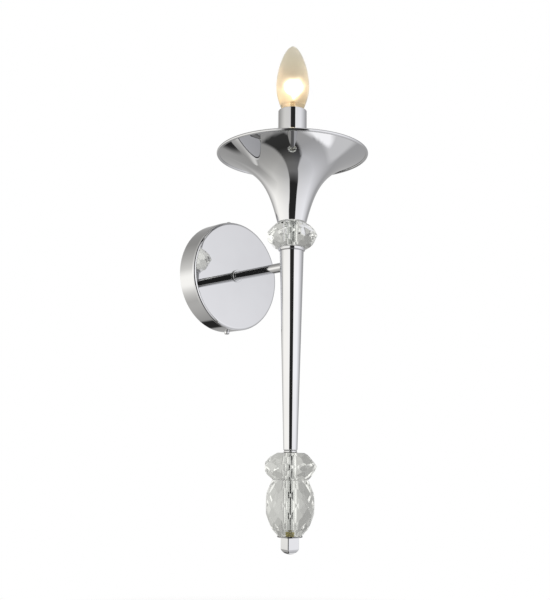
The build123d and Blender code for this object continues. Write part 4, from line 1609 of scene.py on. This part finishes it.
@dataclass
class CandleLamp:
    """Candle lamp with a small screw cap.

    Attributes:
        neck_r: Radius of the glass at its neck.
        shoulder_lean: Lean of the glass at its neck, in degrees from upright.
        shoulder_pull: Reach of that lean.
        belly_z: Height of the widest place above the neck.
        belly_pull: Reach of the upright stretch below that place.
        crown_pull: Reach of the upright stretch above it.
        tip_pull: Reach of the level stretch at the tip.
        glass_wall: Wall of the glass.
        glass_steps: Straight steps below and above the widest place.
        glass_segments: Steps round the glass.
        cap_pitch: Pitch of the cap's rolled thread.
        cap_thread_depth: Depth of that thread.
        cap_thread_steps: Points in one pitch of that thread.
        cap_skirt_h: Height of the skirt above the thread.
        cap_skirt_pulls: Reach of the upright stretches at the skirt's lower and upper end, in skirt heights.
        cap_skirt_steps: Straight steps along the skirt.
        cap_floor: Inset and depth of the recess in the cap's lower end.
        cap_rim: Inset and depth of the recess in its upper end.
        cap_segments: Steps round the cap.
        coil_turns: Turns of the filament.
        coil_r: Radius of its turns.
        coil_steps: Straight steps in one turn.
        coil_wire_r: Radius of its wire.
        coil_wire_sides: Steps round that wire.
        lead_x: Distance of the leads' feet from the middle.
        lead_pull: Reach of the upright stretch at either end of a lead.
        lead_steps: Straight steps along a lead.
        lead_wire_r: Radius of the leads.
    """

    neck_r: float = 8.4 * MM
    shoulder_lean: float = 20.8
    shoulder_pull: float = 10.2 * MM
    belly_z: float = 32.5 * MM
    belly_pull: float = 11.5 * MM
    crown_pull: float = 22.0 * MM
    tip_pull: float = 7.4 * MM
    glass_wall: float = 0.8 * MM
    glass_steps: tuple[int, int] = (32, 48)
    glass_segments: int = 192
    cap_pitch: float = 2.822 * MM
    cap_thread_depth: float = 0.55 * MM
    cap_thread_steps: int = 14
    cap_skirt_h: float = 5.0 * MM
    cap_skirt_pulls: Point = (0.4, 0.6)
    cap_skirt_steps: int = 10
    cap_floor: Point = (1.0 * MM, 1.0 * MM)
    cap_rim: Point = (0.4 * MM, 0.6 * MM)
    cap_segments: int = 96
    coil_turns: int = 14
    coil_r: float = 0.75 * MM
    coil_steps: int = 16
    coil_wire_r: float = 0.16 * MM
    coil_wire_sides: int = 8
    lead_x: float = 1.8 * MM
    lead_pull: float = 6.0 * MM
    lead_steps: int = 16
    lead_wire_r: float = 0.3 * MM

    def build(self) -> None:
        """Make the lamp's pieces."""
        self.glass()
        dress(MOUNT_GLASS, "bulb_mount")
        dress(CAP_INSULATOR, "bulb_insulator")
        dress(NICKEL, "bulb_tip")
        self.cap()
        self.filament()

    def glass(self) -> None:
        """Blow the candle-shaped glass."""
        low, high = LAMP_BOX.low.z, LAMP_BOX.high.z
        lean = math.radians(self.shoulder_lean)
        upright = Vector((0.0, 1.0))
        neck = Vector((self.neck_r, low))
        shoulder = neck + Vector((math.sin(lean), math.cos(lean))) * self.shoulder_pull
        belly = Vector((LAMP_BOX.radius, low + self.belly_z))
        tip = Vector((0.0, high))
        lower = (neck, shoulder, belly - upright * self.belly_pull, belly)
        upper = (belly, belly + upright * self.crown_pull, tip + Vector((self.tip_pull, 0.0)), tip)
        outside = bezier(lower, self.glass_steps[0]) + bezier(upper, self.glass_steps[1])[1:]
        inside = inset(outside, self.glass_wall)
        inside[-1] = (0.0, high - self.glass_wall)
        inside[0] = (self.neck_r - self.glass_wall, low)
        glass = spin("candle_glass", [*reversed(inside), *outside], STEM, self.glass_segments)
        fit(glass, LAMP_GLASS, "bulb_glass", Body.LAMP)

    def cap(self) -> None:
        """Make the cap with its rolled thread."""
        box = NodeBox.of("bulb_cap")
        low, high = box.low.z, box.high.z
        skirt_r = box.radius
        skirt_z = high - self.cap_skirt_h
        thread_r = NodeBox.of("bulb_insulator").radius
        thread = Thread(self.cap_pitch, self.cap_thread_depth, low, skirt_z, ThreadForm.ROLLED)
        inner, floor = thread_r - self.cap_floor[0], low + self.cap_floor[1]
        outline = [(0.0, floor), (inner, floor), (inner, low)]
        outline += thread.stations(thread_r, self.cap_thread_steps)
        skirt = (
            (thread_r, skirt_z),
            (thread_r, skirt_z + self.cap_skirt_pulls[0] * self.cap_skirt_h),
            (skirt_r, high - self.cap_skirt_pulls[1] * self.cap_skirt_h),
            (skirt_r, high),
        )
        outline += bezier(skirt, self.cap_skirt_steps)[1:]
        inner, ceiling = skirt_r - self.cap_rim[0], high - self.cap_rim[1]
        outline += [(inner, high), (inner, ceiling), (0.0, ceiling)]
        cap = spin("lamp_screw_cap", outline, STEM, self.cap_segments, thread)
        fit(cap, NICKEL, "bulb_cap", Body.LAMP)

    def filament(self) -> None:
        """Make the coiled filament on its two leads."""
        centre = FILAMENT_BOX.centre
        half = FILAMENT_BOX.radius - self.coil_r
        foot = FILAMENT_BOX.low.z
        level = FILAMENT_BOX.high.z - self.coil_r
        count = self.coil_turns * self.coil_steps
        coil = []
        for step in range(count + 1):
            share = step / count
            angle = math.tau * self.coil_turns * share
            along = centre.x - half + 2.0 * half * share
            beside = centre.y + self.coil_r * math.sin(angle)
            coil.append(Vector((along, beside, level - self.coil_r * math.cos(angle))))
        shape = bmesh.new()
        wire(shape, coil, self.coil_wire_r, self.coil_wire_sides)
        for way in (-1.0, 1.0):
            handles = (
                (way * self.lead_x, foot),
                (way * self.lead_x, foot + self.lead_pull),
                (way * half, level - self.lead_pull),
                (way * half, level - self.coil_r),
            )
            lead = [Vector((centre.x + x, centre.y, z)) for x, z in bezier(handles, self.lead_steps)]
            wire(shape, lead, self.lead_wire_r)
        fit(finished(shape, "coiled_filament"), HOT_WIRE, "filament", Body.LAMP)


def ramp(stops: Sequence[Point], place: float) -> float:
    """Read a value off straight runs between stops.

    Args:
        stops: (place, value) pairs in rising order.
        place: Where to read.

    Returns:
        The value there, held at the ends.
    """
    if place <= stops[0][0]:
        return stops[0][1]
    for (start, first), (end, last) in zip(stops, stops[1:]):
        if place <= end:
            return first + (last - first) * (place - start) / (end - start)
    return stops[-1][1]


@dataclass(frozen=True)
class BoxTones:
    """Soft box on one side of the camera and the room behind it, as metal mirrors them.

    Attributes:
        tint: Tint of its side.
        light: Tone of the box by elevation.
        edge: Bearing of its far edge by elevation.
        back: Tone behind the object by elevation.
        fade: Degrees before and after the far edge over which the box fades.
    """

    tint: Colour
    light: Stops
    edge: Stops
    back: Stops
    fade: Point = (20.0, 40.0)

    def tone(self, bearing: float, elevation: float) -> float:
        """Give the tone in one direction.

        Args:
            bearing: Bearing from the camera's side, without its sign.
            elevation: Elevation.

        Returns:
            The tone.
        """
        far = ramp(self.edge, elevation)
        share = ramp(((far - self.fade[0], 1.0), (far + self.fade[1], 0.0)), bearing)
        return ramp(self.light, elevation) * share + ramp(self.back, elevation) * (1.0 - share)


@dataclass(frozen=True)
class Card:
    """Oval card on the studio's floor, as metal mirrors it.

    Attributes:
        across: Middle across the map.
        forward: Middle along the map.
        half_width: Half its width.
        half_depth: Half its depth.
        tone: Its tone.
        soft: Share of its half sizes where it begins to fade, and where it is gone.
    """

    across: float
    forward: float
    half_width: float
    half_depth: float
    tone: float
    soft: Point = (0.75, 1.15)

    def share(self, across: float, forward: float) -> float:
        """Tell how much of the card is seen at a place on the map.

        Args:
            across: Place across the map.
            forward: Place along the map.

        Returns:
            1 inside the card, 0 outside, and between at its soft edge.
        """
        aside = (across - self.across) / self.half_width
        off = math.hypot(aside, (forward - self.forward) / self.half_depth)
        return ramp(((self.soft[0], 1.0), (self.soft[1], 0.0)), off)


WARM_BOX = BoxTones(
    tint=(1.015, 1.0, 0.96),
    light=(
        (-90.0, 0.48), (-65.0, 0.56), (-45.0, 0.72), (-25.0, 1.06), (-8.0, 1.45), (8.0, 1.45),
        (24.0, 0.97), (45.0, 0.65),
    ),
    edge=(
        (-60.0, 95.0), (-38.0, 106.0), (-34.0, 100.0), (-29.0, 88.0), (-20.0, 98.0), (-14.0, 111.0),
        (-9.0, 122.0), (-3.0, 121.0), (3.0, 114.0), (12.0, 90.0), (30.0, 84.0),
    ),
    back=((-30.0, 0.44), (-10.0, 0.46), (5.0, 0.50), (20.0, 0.50), (40.0, 0.39)),
)
COOL_BOX = BoxTones(
    tint=(0.985, 0.985, 1.015),
    light=(
        (-90.0, 0.66), (-60.0, 0.78), (-45.0, 0.90), (-25.0, 1.10), (-9.0, 1.30), (-1.0, 1.45),
        (8.0, 1.45), (24.0, 1.22), (45.0, 0.80),
    ),
    edge=((-45.0, 112.0), (-10.0, 102.0), (8.0, 88.0)),
    back=((0.0, 0.50),),
)
PALE_CARD = Card(22.0, -40.0, 20.0, 13.0, 0.84)
WHITE_CARD = Card(14.0, -32.0, 11.0, 5.0, 1.45)
DARK_CARD = Card(-21.0, -52.0, 10.0, 12.0, 0.03)


@dataclass(frozen=True)
class StudioShell:
    """Round shell with a warm and a cool soft box, seen only in metal and glass.

    Bearings are counted in degrees from the camera's side, elevations in degrees from level. The dark
    corridor between the boxes, and the three cards on the floor, lie on a map seen from straight below,
    in degrees from its middle: across to the right, and forward to the camera.

    Attributes:
        radius: Radius of the shell in metres.
        row_step: Degrees of elevation from one row of points to the next.
        warm: The soft box on the left.
        cool: The soft box on the right.
        cards: The cards, each laid over the one before it.
        through_tint: Tint of all sides through glass.
        through_light: Tone through glass by bearing.
        through_fall: Factor on it by elevation.
        corridor_left: Left edge of the corridor by forward place.
        corridor_right: Right edge of the corridor by forward place.
        corridor_tone: Tone of the corridor by forward place.
        corridor_end: Forward place where the corridor ends.
        through_end: Forward place where the corridor ends as seen through glass.
        through_sides: Limits of the corridor's edges as seen through glass.
        through_shade: Tone of the corridor as seen through glass.
        soft: Width of the corridor's soft edge.
    """

    radius: float = 3.0
    row_step: int = 2
    warm: BoxTones = WARM_BOX
    cool: BoxTones = COOL_BOX
    cards: tuple[Card, ...] = (PALE_CARD, WHITE_CARD, DARK_CARD)
    through_tint: Colour = (1.0, 1.0, 0.965)
    through_light: Stops = (
        (-180.0, 0.60), (-168.0, 0.54), (-150.0, 0.35), (-128.0, 0.39), (-108.0, 0.80), (-85.0, 1.20),
        (-60.0, 1.0), (55.0, 1.05), (72.0, 1.40), (95.0, 1.30), (118.0, 0.76), (150.0, 0.56), (180.0, 0.60),
    )
    through_fall: Stops = (
        (-60.0, 1.1), (-38.0, 0.84), (-24.0, 0.88), (-8.0, 1.0), (0.0, 1.0), (8.0, 0.84), (16.0, 0.68),
        (38.0, 0.60), (60.0, 1.0),
    )
    corridor_left: Stops = (
        (-28.0, -19.0), (-15.0, -16.0), (0.0, -14.0), (20.0, -12.0), (47.0, -10.0), (62.0, -14.0),
        (68.0, -18.0), (71.0, -32.0), (82.0, -32.0), (89.0, -25.0), (115.0, -30.0),
    )
    corridor_right: Stops = (
        (-28.0, -4.0), (-15.0, 5.0), (0.0, 12.0), (25.0, 14.0), (47.0, 25.0), (62.0, 29.0), (75.0, 34.0),
        (90.0, 38.0), (115.0, 48.0),
    )
    corridor_tone: Stops = (
        (-28.0, 0.05), (-12.0, 0.04), (0.0, 0.10), (15.0, 0.20), (32.0, 0.22), (44.0, 0.10), (52.0, 0.03),
    )
    corridor_end: float = -28.0
    through_end: float = 55.0
    through_sides: Point = (-12.0, 28.0)
    through_shade: float = 0.03
    soft: float = 2.5

    def tone(self, bearing: float, elevation: float, through: bool) -> Vector:
        """Give the shell's colour in one direction.

        Args:
            bearing: Bearing from the camera's side.
            elevation: Elevation.
            through: Whether it is seen through glass.

        Returns:
            The colour.
        """
        turn = math.radians(bearing)
        across = (90.0 + elevation) * math.sin(turn)
        forward = (90.0 + elevation) * math.cos(turn)
        left = ramp(self.corridor_left, forward)
        right = ramp(self.corridor_right, forward)
        if through:
            tint = Vector(self.through_tint)
            light = ramp(self.through_light, bearing) * ramp(self.through_fall, elevation)
            left = max(left, self.through_sides[0])
            right = min(right, self.through_sides[1])
            end, shade = self.through_end, self.through_shade
        else:
            tint = Vector(self.warm.tint).lerp(Vector(self.cool.tint), 0.5 + 0.5 * math.sin(turn))
            light = (self.cool if bearing > 0.0 else self.warm).tone(abs(bearing), elevation)
            for card in self.cards:
                light += (card.tone - light) * card.share(across, forward)
            end, shade = self.corridor_end, ramp(self.corridor_tone, forward)
        inside = min(across - left, right - across, forward - end)
        dark = ramp(((-self.soft / 2.0, 0.0), (self.soft / 2.0, 1.0)), inside)
        light += (shade - light) * dark
        return tint * light

    def build(self, camera_bearing: float) -> None:
        """Make the shell.

        Args:
            camera_bearing: Bearing of the camera in degrees.
        """
        shape = bmesh.new()
        mirrored = shape.verts.layers.float_color.new("mirrored")
        through = shape.verts.layers.float_color.new("through")
        rows = []
        for elevation in range(-89, 90, self.row_step):
            row = []
            rise = math.sin(math.radians(elevation))
            level = math.cos(math.radians(elevation))
            for bearing in range(-180, 180):
                turn = math.radians(bearing + camera_bearing)
                outward = Vector((math.sin(turn) * level, -math.cos(turn) * level, rise))
                spot = shape.verts.new(STEM.origin + outward * self.radius)
                spot[mirrored] = Vector((*self.tone(bearing, elevation, False), 1.0))
                spot[through] = Vector((*self.tone(bearing, elevation, True), 1.0))
                row.append(spot)
            rows.append(row)
        for first, second in zip(rows, rows[1:]):
            bridge(shape, first, second)
        shape.faces.new(rows[0])
        shape.faces.new(rows[-1])
        shell = finished(shape, "studio_shell")
        shell.data.materials.append(self.glow())
        shell.visible_camera = False
        shell.visible_diffuse = False
        shell.visible_shadow = False

    def glow(self) -> bpy.types.Material:
        """Make the material that shows one set of tones in mirrors and the other through glass.

        Returns:
            The material.
        """
        material = bpy.data.materials.new("studio_shell_tones")
        material.use_nodes = True
        nodes = Nodes(material.node_tree)
        nodes.tree.nodes.clear()
        lights = []
        for layer in ("mirrored", "through"):
            tone = nodes.add("Attribute", {}, attribute_name=layer)
            lights.append(nodes.add("Emission", {"Color": tone.outputs["Color"]}).outputs["Emission"])
        glass = nodes.add("LightPath", {}).outputs["Is Transmission Ray"]
        mix = nodes.add("MixShader", {"Fac": glass, 1: lights[0], 2: lights[1]})
        nodes.add("OutputMaterial", {"Surface": mix.outputs["Shader"]})
        return material


@dataclass
class Studio:
    """White studio with two soft boxes, a pale floor and the camera of the photograph.

    Attributes:
        bearing: Bearing of the camera from the stem, in degrees.
        distance: Distance of the camera from the stem.
        height: Height of the camera.
        axis_y: Place of the stem's axis that the distance is counted from.
        yaw: Turn of the view to the side, in degrees.
        pitch: Tilt of the view upwards, in degrees.
        roll: Turn of the view about its middle, in degrees.
        lens: Focal length in millimetres.
        sensor: Width of the sensor in millimetres.
        clip_start: Nearest distance that the camera sees.
        floor_drop: Height of the object's lowest point above the floor.
        floor_r: Radius of the floor.
        floor_fade: Shares of that radius where the floor begins to fade, and where it is gone.
        floor_paint: Lighter and darker colour of the floor.
        floor_patches: Patches of the paint in a metre.
        floor_roughness: Roughness of the paint.
        floor_segments: Steps round the floor.
        box_turn: Bearing of either soft box from the camera, in degrees.
        box_rise: Rise of either soft box, as a share of its level distance.
        box_distance: Distance of either soft box from the stem.
        box_size: Width and height of either soft box.
        box_power: Power of either soft box in watts.
        warm_light: Colour of the left soft box.
        cool_light: Colour of the right soft box.
        room_light: Strength of the white room as a light.
        light_bounces: Bounces that light makes in glass and between mirrors.
    """

    bearing: float = -44.594
    distance: float = 0.8997
    height: float = -0.1824
    axis_y: float = -0.11028
    yaw: float = 1.081
    pitch: float = 9.22
    roll: float = 0.5375
    lens: float = 53.311
    sensor: float = 36.0
    clip_start: float = 0.01
    floor_drop: float = 0.45
    floor_r: float = 2.6
    floor_fade: Point = (0.4, 0.98)
    floor_paint: tuple[Colour, Colour] = ((0.82, 0.82, 0.81), (0.80, 0.80, 0.79))
    floor_patches: float = 40.0
    floor_roughness: float = 0.9
    floor_segments: int = 96
    box_turn: float = 70.0
    box_rise: float = 0.35
    box_distance: float = 1.7
    box_size: Point = (1.0, 1.6)
    box_power: float = 9.0
    warm_light: Colour = (1.0, 0.97, 0.92)
    cool_light: Colour = (0.96, 0.97, 1.0)
    room_light: float = 0.5
    light_bounces: int = 32

    def build(self) -> None:
        """Set up the studio."""
        bpy.context.scene.view_settings.view_transform = "Standard"
        paths = bpy.context.scene.cycles
        paths.max_bounces = self.light_bounces
        paths.glossy_bounces = self.light_bounces
        paths.transmission_bounces = self.light_bounces
        paths.sample_clamp_indirect = 0.0
        self.camera()
        self.world()
        self.floor()
        self.soft_box("warm_soft_box", self.bearing - self.box_turn, self.warm_light)
        self.soft_box("cool_soft_box", self.bearing + self.box_turn, self.cool_light)
        StudioShell().build(self.bearing)

    def camera(self) -> None:
        """Place the camera as the photograph was taken."""
        bearing = math.radians(self.bearing)
        heading = math.radians(self.bearing + self.yaw)
        pitch = math.radians(self.pitch)
        roll = math.radians(self.roll)
        place = Vector((math.sin(bearing), -math.cos(bearing), 0.0)) * self.distance
        place += Vector((0.0, self.axis_y, self.height))
        level = Vector((-math.sin(heading), math.cos(heading), 0.0))
        ahead = level * math.cos(pitch) + UP * math.sin(pitch)
        side = Vector((math.cos(heading), math.sin(heading), 0.0))
        above = UP * math.cos(pitch) - level * math.sin(pitch)
        right = side * math.cos(roll) + above * math.sin(roll)
        over = above * math.cos(roll) - side * math.sin(roll)
        data = bpy.data.cameras.new("camera")
        data.lens = self.lens
        data.sensor_width = self.sensor
        data.clip_start = self.clip_start
        camera = bpy.data.objects.new("camera", data)
        camera.matrix_world = Matrix.Translation(place) @ Matrix((right, over, -ahead)).transposed().to_4x4()
        bpy.context.scene.collection.objects.link(camera)
        bpy.context.scene.camera = camera

    def world(self) -> None:
        """Make the white room: white to the eye and in mirrors, softer as a light."""
        world = bpy.data.worlds.new("white_room")
        bpy.context.scene.world = world
        world.use_nodes = True
        nodes = Nodes(world.node_tree)
        background = nodes.tree.nodes["Background"]
        background.inputs["Color"].default_value = (1.0, 1.0, 1.0, 1.0)
        path = nodes.add("LightPath", {})
        seen = path.outputs["Is Camera Ray"]
        for ray in ("Is Glossy Ray", "Is Transmission Ray"):
            either = nodes.add("Math", {0: seen, 1: path.outputs[ray]}, operation="MAXIMUM")
            seen = either.outputs["Value"]
        strength = nodes.add("MapRange", {"Value": seen, "To Min": self.room_light, "To Max": 1.0})
        nodes.tree.links.new(strength.outputs["Result"], background.inputs["Strength"])

    def floor(self) -> None:
        """Make the pale floor, which fades out before it reaches the horizon."""
        level = Matrix.Translation(STEM.origin + UP * (CAD_BOX[0].z - self.floor_drop))
        shape = bmesh.new()
        segments, radius = self.floor_segments, self.floor_r
        bmesh.ops.create_circle(shape, cap_ends=True, segments=segments, radius=radius, matrix=level)
        floor = finished(shape, "pale_floor")
        nodes = FinishNodes("pale_floor_paint")
        nodes.put({"Roughness": self.floor_roughness})
        nodes.link(nodes.blend(nodes.noise(self.floor_patches), *self.floor_paint), "Base Color")
        limits = (self.floor_fade[0] * radius, self.floor_fade[1] * radius)
        nodes.link(nodes.spread(nodes.reach(STEM.origin), limits, (1.0, 0.0)), "Alpha")
        floor.data.materials.append(nodes.material)
        floor.visible_glossy = False
        floor.visible_transmission = False

    def soft_box(self, name: str, bearing: float, tint: Colour) -> None:
        """Add a soft box that faces the stem.

        Args:
            name: Name of the light.
            bearing: Bearing from the stem in degrees.
            tint: Colour of its light.
        """
        light = bpy.data.lights.new(name, "AREA")
        light.shape = "RECTANGLE"
        light.size, light.size_y = self.box_size
        light.energy = self.box_power
        light.color = tint
        angle = math.radians(bearing)
        outward = Vector((math.sin(angle), -math.cos(angle), self.box_rise)).normalized()
        lamp = bpy.data.objects.new(name, light)
        lamp.location = STEM.origin + outward * self.box_distance
        lamp.rotation_mode = "QUATERNION"
        lamp.rotation_quaternion = outward.to_track_quat("Z", "Y")
        lamp.visible_glossy = False
        lamp.visible_transmission = False
        bpy.context.scene.collection.objects.link(lamp)


def main() -> None:
    """Build the studio and every sub-assembly, and note the sizes."""
    logging.basicConfig(level=logging.INFO, format="%(name)s: %(message)s")
    Studio().build()
    assemblies = (Canopy(), WallFixing(), Arm(), Stem(), Crystals(), Horn(), Lampholder(), CandleLamp())
    for assembly in assemblies:
        assembly.build()
        LOG.info("%s is done", type(assembly).__name__)


if __name__ == "__main__":
    main()
